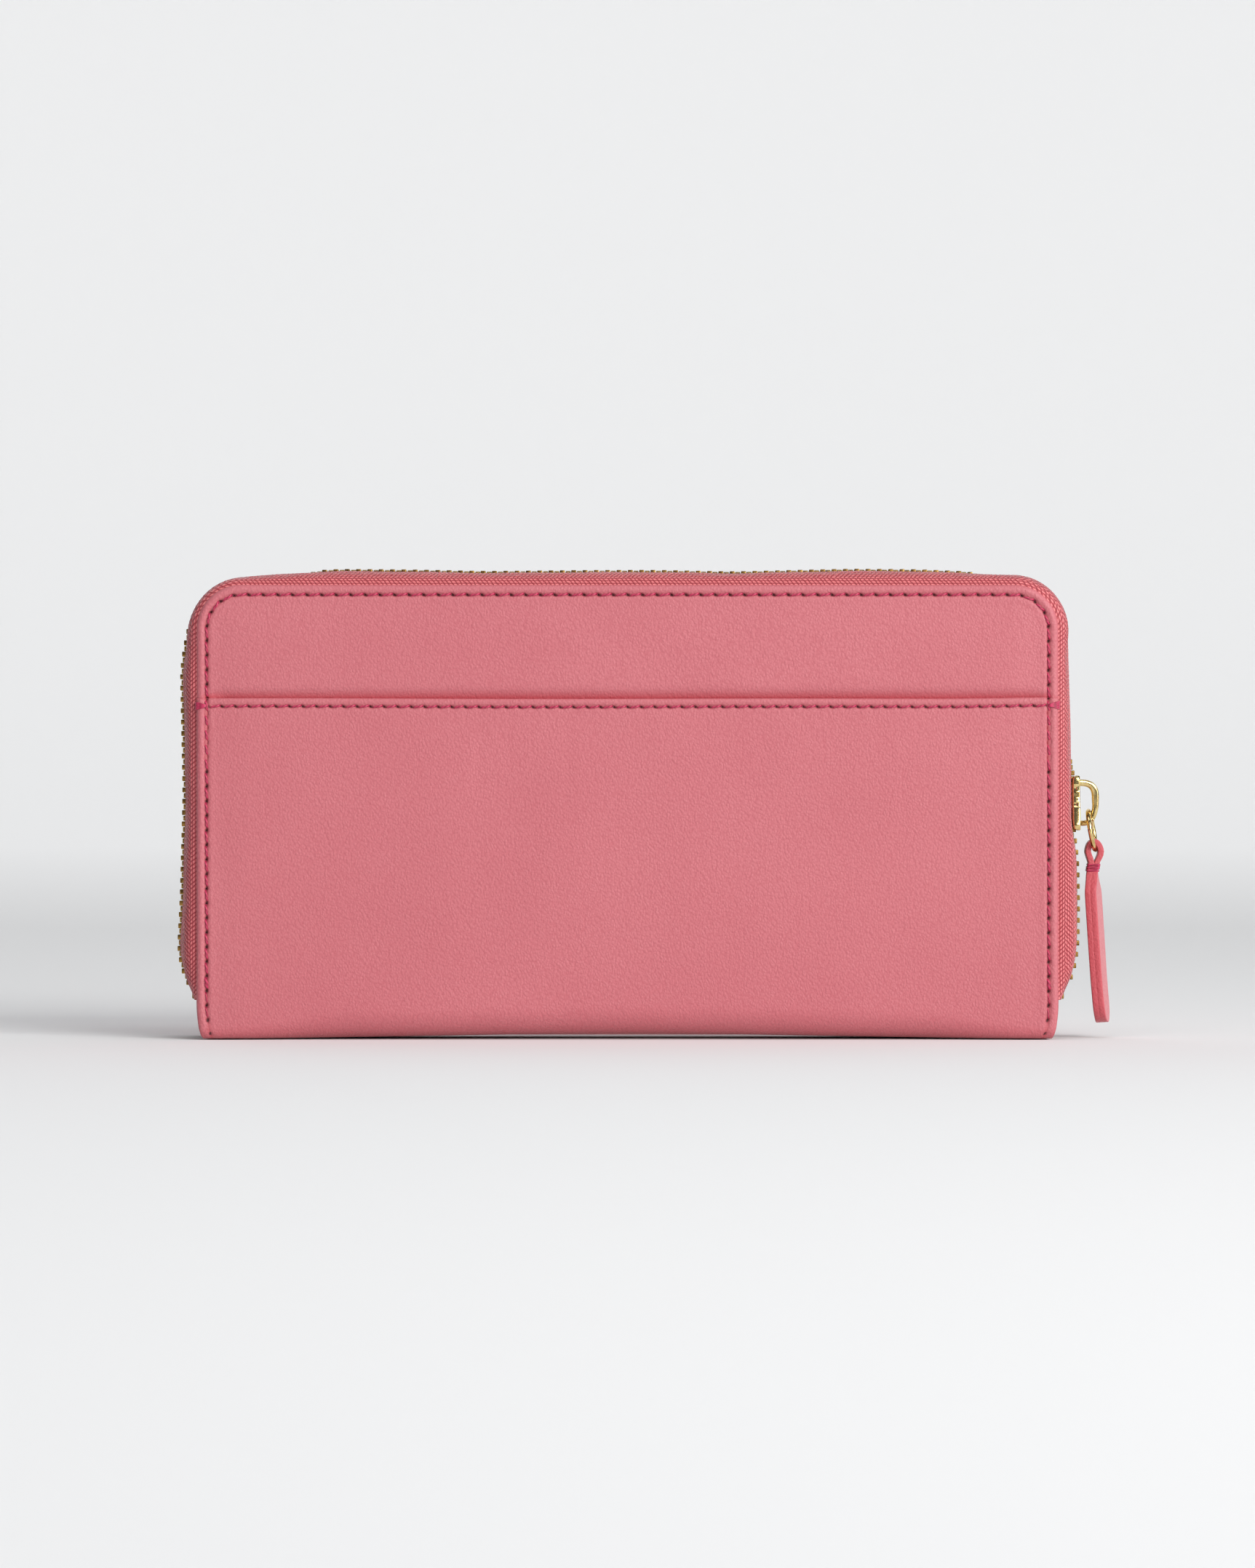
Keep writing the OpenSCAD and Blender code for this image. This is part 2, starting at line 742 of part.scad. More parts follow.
// Folded strip: a loop round the ring's wire, a narrow neck and a broad tab with a round end.
module pull_tab_leather() {
    neck = neck_w / 2;
    wide = tab_w / 2;
    widest_z = -neck_r - shoulder_len;
    round_z = wide - tab_len;
    color(pink) translate([tab_x, 0, tab_z]) rotate([0, -tab_lean, 0]) difference() {
        union() {
            rotate([90, 0, 0]) cylinder(r = neck_r, h = neck_w, center = true);
            along_x(-tab_t / 2, tab_t / 2) {
                polygon([[-neck, 0], [neck, 0], [neck, -neck_r], [wide, widest_z], [wide, round_z],
                    [-wide, round_z], [-wide, widest_z], [-neck, -neck_r]]);
                translate([0, round_z]) circle(wide);
            }
        }
        rotate([90, 0, 0]) cylinder(r = neck_bore, h = neck_w + overcut, center = true);
    }
}

// A short row of thread across each face of the tab's neck.
module pull_tab_bar_tack() {
    color(wine) translate([tab_x, 0, tab_z]) rotate([0, -tab_lean, 0])
        for (side = [-1, 1]) translate([side * (tab_t + thread_h) / 2, 0, -neck_r - tack_drop])
            cube([thread_h, neck_w, 2 * thread_w], center = true);
}

// ---- coin slider ----------------------------------------------------------------------------

module coin_slider_body() {
    color(gold) on_coin_chain(coin_slider_x)
        slider_shell(coin_slider_len, coin_chain_half, coin_spread, coin_reach, coin_tooth_h, coin_plate_t,
            coin_flange_w);
}

module coin_slider_bridge() {
    color(gold) on_coin_chain(coin_slider_x)
        slider_loop(coin_plate_out, coin_bridge_h, coin_bridge_len, coin_bridge_t, coin_bridge_w, coin_bridge_t);
}

// Flat metal pull that lies back over the closed chain: a cross bar under the bridge, a long eye
// that clears the bridge as the pull swings over, and a plate with a round end.
module coin_pull_tab() {
    pin_r = coin_pull_t / 2;
    pin_back = coin_window - pin_r - coin_pull_play;
    pin_z = coin_plate_out + pin_r + coin_pull_play;
    eye = coin_bridge_w / 2 + coin_pull_play;
    eye_end = pin_back + coin_bridge_len / 2 + 2 * coin_pull_play;
    wide = coin_pull_w / 2;
    color(gold) on_coin_chain(coin_slider_x) translate([pin_z, 0, pin_back]) {
        rotate([90, 0, 0]) cylinder(r = pin_r, h = coin_pull_w, center = true);
        along_x(-pin_r, pin_r) difference() {
            union() {
                translate([-wide, 0]) square([coin_pull_w, coin_pull_len - wide]);
                translate([0, coin_pull_len - wide]) circle(wide);
            }
            translate([-eye, -overcut]) square([2 * eye, eye_end + overcut]);
        }
    }
}

spine_leather();
spine_board();
coin_pocket_pouch();
coin_zip_tape_back();
coin_zip_tape_front();
coin_zip_teeth_back();
coin_zip_teeth_front();
coin_zip_stops();
gusset_back_left();
gusset_back_right();
gusset_front_left();
gusset_front_right();
back_panel();
slip_pocket_panel();
back_board();
back_lining();
back_bill_panel();
back_card_strip_1();
back_card_strip_2();
back_card_strip_3();
back_zip_tape();
back_zip_teeth();
back_zip_stops();
back_edge_stitching();
slip_pocket_stitching();
front_panel();
front_board();
front_lining();
front_bill_panel();
front_card_strip_1();
front_card_strip_2();
front_card_strip_3();
front_zip_tape();
front_zip_teeth();
front_zip_stops();
front_edge_stitching();
slider_body();
slider_bridge();
pull_ring();
pull_tab_leather();
pull_tab_bar_tack();
coin_slider_body();
coin_slider_bridge();
coin_pull_tab();
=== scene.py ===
# %% [markdown]
# # A zip-around wallet in pink leather
# The wallet stands on its spine with its back to us: a leather panel with a slip pocket, a woven
# zip tape bulging past the edge, brass teeth, and a slider with a ring and a leather pull.
# The CAD model holds every place and size. This lesson builds the looks around it.

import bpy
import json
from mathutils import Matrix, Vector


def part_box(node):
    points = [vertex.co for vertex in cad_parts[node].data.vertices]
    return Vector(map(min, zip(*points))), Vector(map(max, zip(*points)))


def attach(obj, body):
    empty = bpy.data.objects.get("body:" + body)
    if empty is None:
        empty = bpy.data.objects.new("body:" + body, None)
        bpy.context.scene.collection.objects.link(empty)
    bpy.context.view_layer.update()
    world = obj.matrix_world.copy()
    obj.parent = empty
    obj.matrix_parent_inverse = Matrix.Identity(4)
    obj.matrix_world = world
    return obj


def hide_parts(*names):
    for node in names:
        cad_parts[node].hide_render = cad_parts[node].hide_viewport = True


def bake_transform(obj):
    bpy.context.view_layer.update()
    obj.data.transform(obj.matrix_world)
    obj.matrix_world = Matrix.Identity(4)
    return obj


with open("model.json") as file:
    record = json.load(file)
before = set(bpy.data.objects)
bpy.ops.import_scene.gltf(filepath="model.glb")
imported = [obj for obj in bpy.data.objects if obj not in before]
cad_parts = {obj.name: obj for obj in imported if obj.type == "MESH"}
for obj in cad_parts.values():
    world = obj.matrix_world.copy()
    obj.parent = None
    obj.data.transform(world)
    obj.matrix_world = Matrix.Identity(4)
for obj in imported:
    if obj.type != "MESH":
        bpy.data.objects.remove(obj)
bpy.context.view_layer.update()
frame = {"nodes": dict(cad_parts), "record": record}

# %% [markdown]
# ## Units and sizes
# A leatherworker thinks in millimetres and Blender in metres, so the shapes are worked out in
# millimetres and scaled once, when a mesh is made. The main sizes come from the CAD nodes' boxes,
# so that a change in the CAD model carries through to the looks; the corner, seam and stitch sizes
# are given here.

# %% Sizes from the CAD model
import json
import math

import bmesh
import bpy
import numpy as np
from mathutils import Vector
from mathutils.geometry import delaunay_2d_cdt

MM = 0.001
QUARTER = math.pi / 2


def span(node):
    """Lowest and highest corner of a CAD node, in millimetres."""
    low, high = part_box(node)
    return np.array(low) / MM, np.array(high) / MM


panel_low, panel_high = span("back_panel")
pocket_low, pocket_high = span("slip_pocket_panel")
half_w, top_z = panel_high[0], panel_high[2]
corner_r = 10.0
panel_y, pocket_y = -panel_low[1], -pocket_low[1]
front_y = span("front_panel")[1][1]
mouth_z = pocket_high[2]
seam_in = 2.3
stitch_pitch = 3.3
print(f"cover {2 * half_w:.0f} x {top_z:.0f} mm, pocket mouth {top_z - mouth_z:.1f} mm below the top")

# %% [markdown]
# ## Camera
# The wallet is seen square on from 1.3 m, level with a point a little above its middle, and small
# in a tall frame. A long lens keeps its sides straight. The focal length follows from the height
# that the frame shows at the wallet's face.

# %% Camera
scene = bpy.context.scene
scene.view_settings.view_transform = "Standard"
camera_distance = 1.3
frame_height = 0.3545
eye_height = 0.0579
camera = bpy.data.objects.new("camera", bpy.data.cameras.new("camera"))
scene.collection.objects.link(camera)
scene.camera = camera
camera.data.sensor_width = 36
camera.data.lens = camera.data.sensor_width * camera_distance / frame_height
camera.data.clip_start = 0.05
camera.location = (0, -camera_distance - pocket_y * MM, eye_height)
camera.rotation_euler = (QUARTER, 0, 0)
print(f"lens {camera.data.lens:.0f} mm")

# %% [markdown]
# ## Starting a material
# A material is a chain of nodes that ends in one shader. It can be wired by hand in the shader
# editor, or written as text, which is easier to follow in a lesson. One helper starts a material
# and the other makes a node and sets or links its inputs. Values that are the same all over a
# surface are set on the shader itself, so that an exported model keeps them.

# %% Starting a material
def new_material(name, roughness, metallic=0.0, **sockets):
    """A Principled material with its constant values set on the shader itself."""
    material = bpy.data.materials.new(name)
    material.use_nodes = True
    shader = material.node_tree.nodes["Principled BSDF"]
    shader.inputs["Roughness"].default_value = roughness
    shader.inputs["Metallic"].default_value = metallic
    for socket, value in sockets.items():
        shader.inputs[socket.replace("_", " ").title().replace("Ior", "IOR")].default_value = value
    return material, shader


def add_node(owner, kind, inputs=None, **settings):
    """One shader node; inputs maps a socket's name or number to a value or to another socket."""
    tree = owner.node_tree
    made = tree.nodes.new(kind)
    for key, value in settings.items():
        setattr(made, key, value)
    for key, value in (inputs or {}).items():
        if isinstance(value, bpy.types.NodeSocket):
            tree.links.new(value, made.inputs[key])
        else:
            made.inputs[key].default_value = value
    return made


def feed(material, shader, **results):
    """Links results to the shader's sockets, such as base_color."""
    for socket, result in results.items():
        material.node_tree.links.new(result, shader.inputs[socket.replace("_", " ").title()])


print("materials can be started")

# %% [markdown]
# ## Sums inside a material
# Most of a recipe is sums on numbers: how high the grain stands, how dark the dye is there. Each
# helper hides one node. Colours are picked on a screen, from 0 to 255, and Blender works with
# linear light, so one helper converts them. Places are taken on the piece itself and in
# millimetres, so that the grain stays put when the piece moves.

# %% Sums inside a material
def calc(owner, operation, a, b=0.0):
    """A maths node's result."""
    return add_node(owner, "ShaderNodeMath", {0: a, 1: b}, operation=operation).outputs[0]


def blend_colors(material, share, first, second):
    """A mix of two colours; share 0 gives the first."""
    inputs = {0: share, 6: first, 7: second}
    return add_node(material, "ShaderNodeMix", inputs, data_type="RGBA").outputs[2]


def between(owner, value, low, high, to_low=0.0, to_high=1.0):
    """Maps value from one range to another, clamped."""
    names = {"Value": value, "From Min": low, "From Max": high, "To Min": to_low, "To Max": to_high}
    return add_node(owner, "ShaderNodeMapRange", names).outputs[0]


def place_in_mm(material):
    """The point on the piece at rest, in millimetres."""
    here = {0: add_node(material, "ShaderNodeTexCoord").outputs["Object"], "Scale": 1 / MM}
    return add_node(material, "ShaderNodeVectorMath", here, operation="SCALE").outputs[0]


def noise(material, vector, scale, detail):
    """Cloudy noise from 0 to 1."""
    inputs = {"Vector": vector, "Scale": scale, "Detail": detail}
    return add_node(material, "ShaderNodeTexNoise", inputs).outputs[0]


def stored(material, name):
    """A number that the mesh stores at each of its points."""
    return add_node(material, "ShaderNodeAttribute", attribute_name=name).outputs["Fac"]


def add_bump(material, shader, height, depth_mm):
    """Tilts the surface's normals as if height, from 0 to 1, stood depth_mm high."""
    bump = add_node(material, "ShaderNodeBump", {"Height": height, "Distance": depth_mm * MM})
    material.node_tree.links.new(bump.outputs[0], shader.inputs["Normal"])


def linear(red, green, blue):
    """A screen colour from 0 to 255 as the linear values that Blender works with, opaque."""
    values = np.array([red, green, blue]) / 255
    return (*np.where(values > 0.04045, ((values + 0.055) / 1.055) ** 2.4, values / 12.92), 1)


print("white in linear light is", linear(255, 255, 255))

# %% [markdown]
# ## Floor
# The ground is one pale sheet of paper that sweeps up behind the wallet, so that no horizon shows.
# It is a strip of flat faces along a side view: flat, then a quarter round, then upright. The paper
# is a touch greyer where it lies flat, because light from above would make it the brighter part.

# %% Floor
def sweep_points(depth, back, height, radius):
    """Side view of the floor and wall, as (y, z): flat, then a quarter round, then upright."""
    turns = np.linspace(0, QUARTER, 17)
    bend = [(back - radius + radius * math.sin(a), radius - radius * math.cos(a)) for a in turns]
    return [(-depth, 0)] + bend + [(back, height)]


def paper_material(flat_tone, upright_tone, rise):
    material, shader = new_material("paper", 1, specular_ior_level=0)
    here = add_node(material, "ShaderNodeTexCoord").outputs["Object"]
    height = add_node(material, "ShaderNodeSeparateXYZ", {0: here}).outputs["Z"]
    feed(material, shader, base_color=between(material, height, 0, rise, flat_tone, upright_tone))
    return material


profile = sweep_points(depth=4, back=2.2, height=4, radius=1.2)
verts = [(x, y, z) for y, z in profile for x in (-5, 5)]
faces = [(2 * i, 2 * i + 1, 2 * i + 3, 2 * i + 2) for i in range(len(profile) - 1)]
floor_mesh = bpy.data.meshes.new("floor")
floor_mesh.from_pydata(verts, [], faces)
floor_mesh.polygons.foreach_set("use_smooth", [True] * len(faces))
floor_mesh.materials.append(paper_material(0.8, 0.955, 0.03))
floor = bpy.data.objects.new("floor", floor_mesh)
scene.collection.objects.link(floor)
print(len(faces), "faces of paper")

# %% [markdown]
# ## Lamps
# A large soft sun shines from the right, in front of the wallet and above it, and gives the soft
# shadow on the left. Three softboxes shape the rest: a tall one on the right and a wide one above
# put long highlights on the brass, and one in front, to the right, gives the leather its sheen,
# which is strongest towards the upper right.

# %% Lamps
def add_light(name, kind, energy, towards, location=(0, 0, 1), size=0.5, color=(1, 1, 1)):
    data = bpy.data.lights.new(name, kind)
    data.energy = energy
    data.color = color
    if kind == "SUN":
        data.angle = size
    else:
        data.shape = "RECTANGLE"
        data.size, data.size_y = size
    lamp = bpy.data.objects.new(name, data)
    lamp.location = location
    lamp.rotation_euler = Vector(towards).to_track_quat("-Z", "Y").to_euler()
    scene.collection.objects.link(lamp)


add_light("key", "SUN", 1.08, (-0.62, 0.72, -0.46), size=math.radians(28), color=(1, 0.985, 0.96))
add_light("box_right", "AREA", 4.0, (-1, 0.75, -0.35), (0.95, -0.75, 0.45), (0.25, 0.9))
add_light("box_top", "AREA", 1.5, (0, 0.4, -1), (0.1, -0.4, 1.0), (0.9, 0.25))
add_light("box_front", "AREA", 3.2, (-0.46, 1.09, -0.36), (0.52, -1.15, 0.48), (0.5, 0.35))
print(len(bpy.data.lights), "lamps")

# %% [markdown]
# ## The room's own light
# Light from the room fills the shadows. It is brighter on the right, which leaves the wallet's left side
# in shade. Polished metal would mirror that bright room and turn flat and pale, so rays that bounce
# off gloss see a darker room, and only the lamps light up in the brass.

# %% The room's own light
world = bpy.data.worlds.new("studio")
scene.world = world
world.use_nodes = True
sky = world.node_tree.nodes["Background"]
sky.inputs["Color"].default_value = (0.95, 0.97, 1.0, 1)
way = add_node(world, "ShaderNodeTexCoord").outputs["Generated"]
rightward = add_node(world, "ShaderNodeSeparateXYZ", {0: way}).outputs[0]
world.node_tree.links.new(between(world, rightward, -1, 1, 0.08, 0.96), sky.inputs["Strength"])
dark_room = add_node(world, "ShaderNodeBackground", {"Color": (0.9, 0.92, 1.0, 1), "Strength": 0.1})
glossy = add_node(world, "ShaderNodeLightPath").outputs["Is Glossy Ray"]
room = add_node(world, "ShaderNodeMixShader", {0: glossy, 1: sky.outputs[0], 2: dark_room.outputs[0]})
world.node_tree.links.new(room.outputs[0], world.node_tree.nodes["World Output"].inputs[0])
print("the room is brighter on the right")

# %% [markdown]
# ## Leather
# Smooth calf leather has a fine pebble of cells less than a millimetre across, stretched a little
# one way, with the odd pore. Its dye lies unevenly: the pits are deeper pink and the tops paler.
# A Voronoi pattern gives the cells, noise breaks them up, and the same pattern drives colour, gloss
# and bump so that they agree. Painted shade darkens the awl's holes where the mesh marks them, and
# more painted shade deepens the colour in the folds and valleys, along the seams and towards the
# base. The pull's cut edges carry a deeper pink edge paint.

# %% Leather
def leather_material(name, tone, deep, grain_mm=0.6, grain_depth=0.14, gloss=0.43, painted_hole_shade=False,
                     edged=False):
    material, shader = new_material(name, gloss, specular_ior_level=0.42, sheen_weight=0.12,
                                    sheen_roughness=0.45)
    here = place_in_mm(material)
    stretch = {0: here, "Rotation": (0, math.radians(40), 0), "Scale": (1.12, 1, 0.88)}
    lean = add_node(material, "ShaderNodeMapping", stretch).outputs[0]
    cells = add_node(material, "ShaderNodeTexVoronoi",
                     {"Vector": lean, "Scale": 1 / grain_mm}, feature="SMOOTH_F1")
    cells.inputs["Smoothness"].default_value = 0.35
    tops = between(material, cells.outputs["Distance"], 0.1, 0.8, 1, 0)
    pebbles = calc(material, "MULTIPLY", tops, 0.45)
    fine = calc(material, "MULTIPLY", noise(material, lean, 1.7 / grain_mm, 4), 0.8)
    height = calc(material, "ADD", pebbles, fine)
    dye = blend_colors(material, between(material, height, 0.3, 0.85, 0.35, 1), deep, tone)
    cloud = between(material, noise(material, here, 0.035, 3), 0.35, 0.7, 0, 0.3)
    color = blend_colors(material, cloud, dye, deep)
    if painted_hole_shade:
        # Painted shade: the colour deepens where folds, valleys, seam channels and the base would lie in
        # shade.
        color = blend_colors(material, stored(material, "folded"), color, linear(186, 62, 72))
        # Painted shade, nearly black, in the awl's holes.
        color = blend_colors(material, stored(material, "painted_hole_shade"), color, linear(40, 3, 9))
    if edged:
        color = blend_colors(material, stored(material, "painted_edge"), color, linear(196, 84, 92))
    rough = between(material, height, 0.3, 1.0, gloss + 0.1, gloss - 0.08)
    feed(material, shader, base_color=color, roughness=rough)
    add_bump(material, shader, height, grain_depth)
    return material


pink_leather = leather_material("pink_leather", linear(203, 116, 123), linear(188, 95, 104), painted_hole_shade=True)
pull_leather = leather_material("pull_leather", linear(210, 115, 122), linear(196, 94, 102), edged=True)
gusset_leather = leather_material("gusset_leather", linear(196, 106, 114), linear(176, 84, 94),
                                  grain_mm=0.5, grain_depth=0.07, gloss=0.55)
print("leathers:", pink_leather.name, pull_leather.name, gusset_leather.name)

# %% [markdown]
# ## The line round a cover's edge
# Seams, zip tape and teeth all follow the same line: up one side of the cover, round the two top
# corners and down the other side. One function gives points on it at any distance out from the
# edge. Lengths are measured along the seam from the middle of the top, so that both sides match.

# %% The edge line
def edge_points(along, out, ref=-seam_in):
    """Points and outward normals at lengths along, measured on the line ref out from the edge."""
    along = np.asarray(along, float)
    side = np.sign(along) + (along == 0)
    run = np.abs(along)
    flat_end = half_w - corner_r
    arc_end = flat_end + (corner_r + ref) * QUARTER
    turn = np.clip((run - flat_end) / (corner_r + ref), 0, QUARTER)
    x = np.minimum(run, flat_end) + (corner_r + out) * np.sin(turn)
    z = top_z - corner_r + (corner_r + out) * np.cos(turn) - np.maximum(run - arc_end, 0)
    return np.stack([side * x, z], 1), np.stack([side * np.sin(turn), np.cos(turn)], 1)


def edge_run(z, ref=-seam_in):
    """Length along the edge line from the middle of the top down to the height z on a side."""
    return half_w - corner_r + (corner_r + ref) * QUARTER + top_z - corner_r - z


def smooth(value):
    """Smoothstep from 0 to 1."""
    t = np.clip(value, 0, 1)
    return t * t * (3 - 2 * t)


def bell(distance, width):
    """A soft bump of height 1."""
    return np.exp(-np.square(distance / width))


seam_end_z = 1.3
stitch_count = 2 * int(edge_run(seam_end_z) / stitch_pitch)
hole_along = (np.arange(stitch_count + 1) - stitch_count / 2) * stitch_pitch
print(f"{stitch_count} stitches round each cover, {edge_run(seam_end_z):.0f} mm of seam on each half")

# %% [markdown]
# ## How far a point is from the edge
# The relief of a sewn panel depends on how far in from the edge a point lies, and on where along
# the seam it is. Both follow from the cover's shape: straight sides and two round corners.

# %% Distance from the edge
def edge_distance(points):
    """Distance in from the cover's edge, and the nearest place along it, for [x, z] points."""
    x, z = np.abs(points[:, 0]), points[:, 1]
    cx, cz = half_w - corner_r, top_z - corner_r
    dx, dz = np.maximum(x - cx, 0), np.maximum(z - cz, 0)
    corner = (dx > 0) & (dz > 0)
    distance = np.where(corner, corner_r - np.hypot(dx, dz), np.minimum(half_w - x, top_z - z))
    angle = np.arctan2(dx, np.maximum(dz, 1e-9))
    on_side = half_w - x < top_z - z
    straight = np.where(on_side, edge_run(np.minimum(z, cz)), np.minimum(x, cx))
    along = np.where(corner, cx + (corner_r - seam_in) * angle, straight)
    return distance, along * np.where(points[:, 0] < 0, -1, 1)


sharp_corner = np.array([[half_w, top_z]])
print(f"a sharp corner would stand {-edge_distance(sharp_corner)[0][0]:.1f} mm outside the round one")

# %% [markdown]
# ## Relief of a sewn leather panel
# The outer leather is one skin over a board. At its edge it is turned in, which rounds it. The
# thread pulls it down in a channel and it puffs up on both sides, deepest where the awl pierced
# it. A bump in the material could fake this, but real height in the mesh catches light along the
# whole seam and also shows in an exported model.

# %% Seam relief
hole_lean = 0.45


def oval(step, across, long_half, wide_half):
    """Oval holes leaning across a seam, from 0 to 1; step is measured from the nearest hole."""
    long_way = step * math.cos(hole_lean) + across * math.sin(hole_lean)
    wide_way = across * math.cos(hole_lean) - step * math.sin(hole_lean)
    return np.exp(-np.square(np.square(long_way / long_half) + np.square(wide_way / wide_half)))


def pricks(distance, along, sharp=1.0):
    """The awl's holes between the stitches of the perimeter seam."""
    half_count = stitch_count / 2
    step = along - (np.round(along / stitch_pitch - half_count) + half_count) * stitch_pitch
    inside = np.abs(along) < edge_run(seam_end_z) + 1
    return inside * oval(step, distance - seam_in, 0.62 * sharp, 0.33 * sharp)


def seam_relief(distance, along):
    """Height of the leather beside the perimeter seam, in millimetres."""
    roll = np.clip(0.9 - distance, 0, 0.9)
    height = np.sqrt(0.81 - roll * roll) - 0.9
    height += 0.16 * bell(distance - 1.15, 0.5) + 0.08 * bell(distance - 3.3, 0.7)
    pull = 0.72 + 0.28 * np.cos(2 * math.pi * (along / stitch_pitch - stitch_count / 2))
    fade = smooth((edge_run(seam_end_z - 3) - np.abs(along)) / 12)
    height -= (0.22 + 0.18 * fade) * pull * bell(distance - seam_in, 0.42)
    return height - 0.5 * pricks(distance, along) - 0.22 * smooth(1 - (distance - 2.5) / 9)


print("seam channel", seam_in, "mm in from the edge")

# %% [markdown]
# ## Waves and creases
# Inside the seam the leather lies over the board with slow waves and a few faint upright creases of
# use. Sums of sine waves give the waves. Each crease is a shallow groove with soft ends, at a listed
# place.

# %% Waves and creases
CREASES = [(-34, 52, 76, 0.05, 0.06), (-27, 58, 75, -0.04, 0.05), (-14, 50, 74, 0.03, 0.05),
           (-92, 30, 52, 0.02, 0.07), (31, 60, 75, -0.06, 0.04), (62, 46, 70, 0.04, 0.04)]


def slow_waves(points):
    """The leather's slow waves over the board, with the faint creases of use."""
    x, z = points.T
    height = 0.1 * np.sin(x / 27 + 1.2) * np.sin(z / 19 + 0.4) + 0.05 * np.sin(x / 11 - z / 14)
    height += 0.035 * np.sin(x / 4.7 + z / 9.1 + 2 * np.sin(z / 13)) * bell(x + 4, 60)
    for crease_x, low, high, lean, depth in CREASES:
        reach = smooth((z - low) / 6) * smooth((high - z) / 6)
        height -= depth * reach * bell(x - crease_x - lean * (z - low), 0.9)
    return height


print(len(CREASES), "creases")

# %% [markdown]
# ## From points to a mesh
# Every piece is worked out as points in millimetres, and a mesh is those points with a list of
# faces. All pieces are closed shells, so Blender can turn their faces outwards by itself. Numbers that
# a material reads later, such as how deep a hole is, are stored at the points. A finished piece is
# handed to the body that carries it and takes the place of a CAD node.

# %% From points to a mesh
def mesh_object(name, verts, faces, material):
    """A smooth closed mesh from points in millimetres, with its faces turned outwards."""
    mesh = bpy.data.meshes.new(name)
    mesh.from_pydata((np.asarray(verts) * MM).tolist(), [], [list(map(int, f)) for f in faces])
    shell = bmesh.new()
    shell.from_mesh(mesh)
    bmesh.ops.recalc_face_normals(shell, faces=shell.faces)
    shell.to_mesh(mesh)
    shell.free()
    mesh.polygons.foreach_set("use_smooth", [True] * len(mesh.polygons))
    mesh.materials.append(material)
    piece = bpy.data.objects.new(name, mesh)
    scene.collection.objects.link(piece)
    print(f"{name}: {len(mesh.polygons)} faces")
    return piece


def store(piece, name, values):
    """Stores a number, or a row of three, at every point, for a material to read."""
    values = np.asarray(values, np.float32)
    kind, field = ("FLOAT", "value") if values.ndim == 1 else ("FLOAT_VECTOR", "vector")
    layer = piece.data.attributes.new(name, kind, "POINT")
    layer.data.foreach_set(field, values.ravel())


def hand_over(piece, body, node):
    """Gives a finished piece to the body that carries it, in place of a CAD node."""
    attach(piece, body)
    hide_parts(node)


# %% [markdown]
# ## Faces between rows of points
# Most pieces are one of two patterns. A tube is rings of points, one after the other, closed by a
# cap at each end or joined into a hoop. A slab is a grid of points with a second grid behind it and
# a wall round the rim. Numbering the faces once for each pattern keeps the shapes easy to read.

# %% Faces between rows of points
def tube_faces(rings, around, hoop=False):
    """Faces round a tube of rings, each of so many points; a hoop joins its last ring to its first."""
    index = np.arange(rings * around).reshape(rings, around)
    if hoop:
        index = np.vstack([index, index[:1]])
    ahead = np.roll(index, -1, 1)
    quads = np.stack([index[:-1], ahead[:-1], ahead[1:], index[1:]], -1).reshape(-1, 4).tolist()
    return quads if hoop else quads + [index[0, ::-1].tolist(), index[-1].tolist()]


def slab_faces(rows, columns):
    """Faces of a slab: a grid of points, the same grid behind it, and a wall round the rim."""
    grid = np.arange(rows * columns).reshape(rows, columns)
    face = np.stack([grid[:-1, :-1], grid[:-1, 1:], grid[1:, 1:], grid[1:, :-1]], -1).reshape(-1, 4)
    rim = np.concatenate([grid[0, :-1], grid[:-1, -1], grid[-1, :0:-1], grid[:0:-1, 0]])
    behind = rim + grid.size
    wall = np.stack([rim, behind, np.roll(behind, -1), np.roll(rim, -1)], 1)
    return np.concatenate([face, face[:, ::-1] + grid.size, wall]).tolist()


def unit(vectors):
    """Vectors scaled to length 1."""
    return vectors / np.linalg.norm(vectors, axis=-1, keepdims=True)


def beside(ahead):
    """Flat directions turned a right angle to their right."""
    return np.stack([ahead[:, 1], -ahead[:, 0]], 1)


def squared(wave, power):
    """A sine or cosine pushed outwards, which makes a circle a rounded square."""
    return np.sign(wave) * np.abs(wave) ** power


def pairs(x, z):
    """Flat points from x and z, of which either may be one number."""
    return np.stack(np.broadcast_arrays(x, z), 1).astype(float)


print("a box has", len(slab_faces(2, 2)), "faces")

# %% [markdown]
# ## Making a leather sheet
# A sheet starts flat. Rows of points run along its edge, close together where the seam is and as
# far apart as the grain allows inside. Blender's Delaunay triangulation joins them. A function
# then lays the flat pattern over the wallet, the way leather is cut flat and folded. The back of
# the sheet needs few points, and a wall with a rolled profile joins the two.

# %% Making a leather sheet
def triangles(points, loop_size):
    """Triangles over flat points, of which the first loop_size run round the outline."""
    loop = [(i, (i + 1) % loop_size) for i in range(loop_size)]
    done = delaunay_2d_cdt([Vector(p) for p in points.tolist()], loop, [], 1, 1e-5)
    source = [origin[0] for origin in done[3]]
    return np.array([[source[i] for i in face] for face in done[2]])


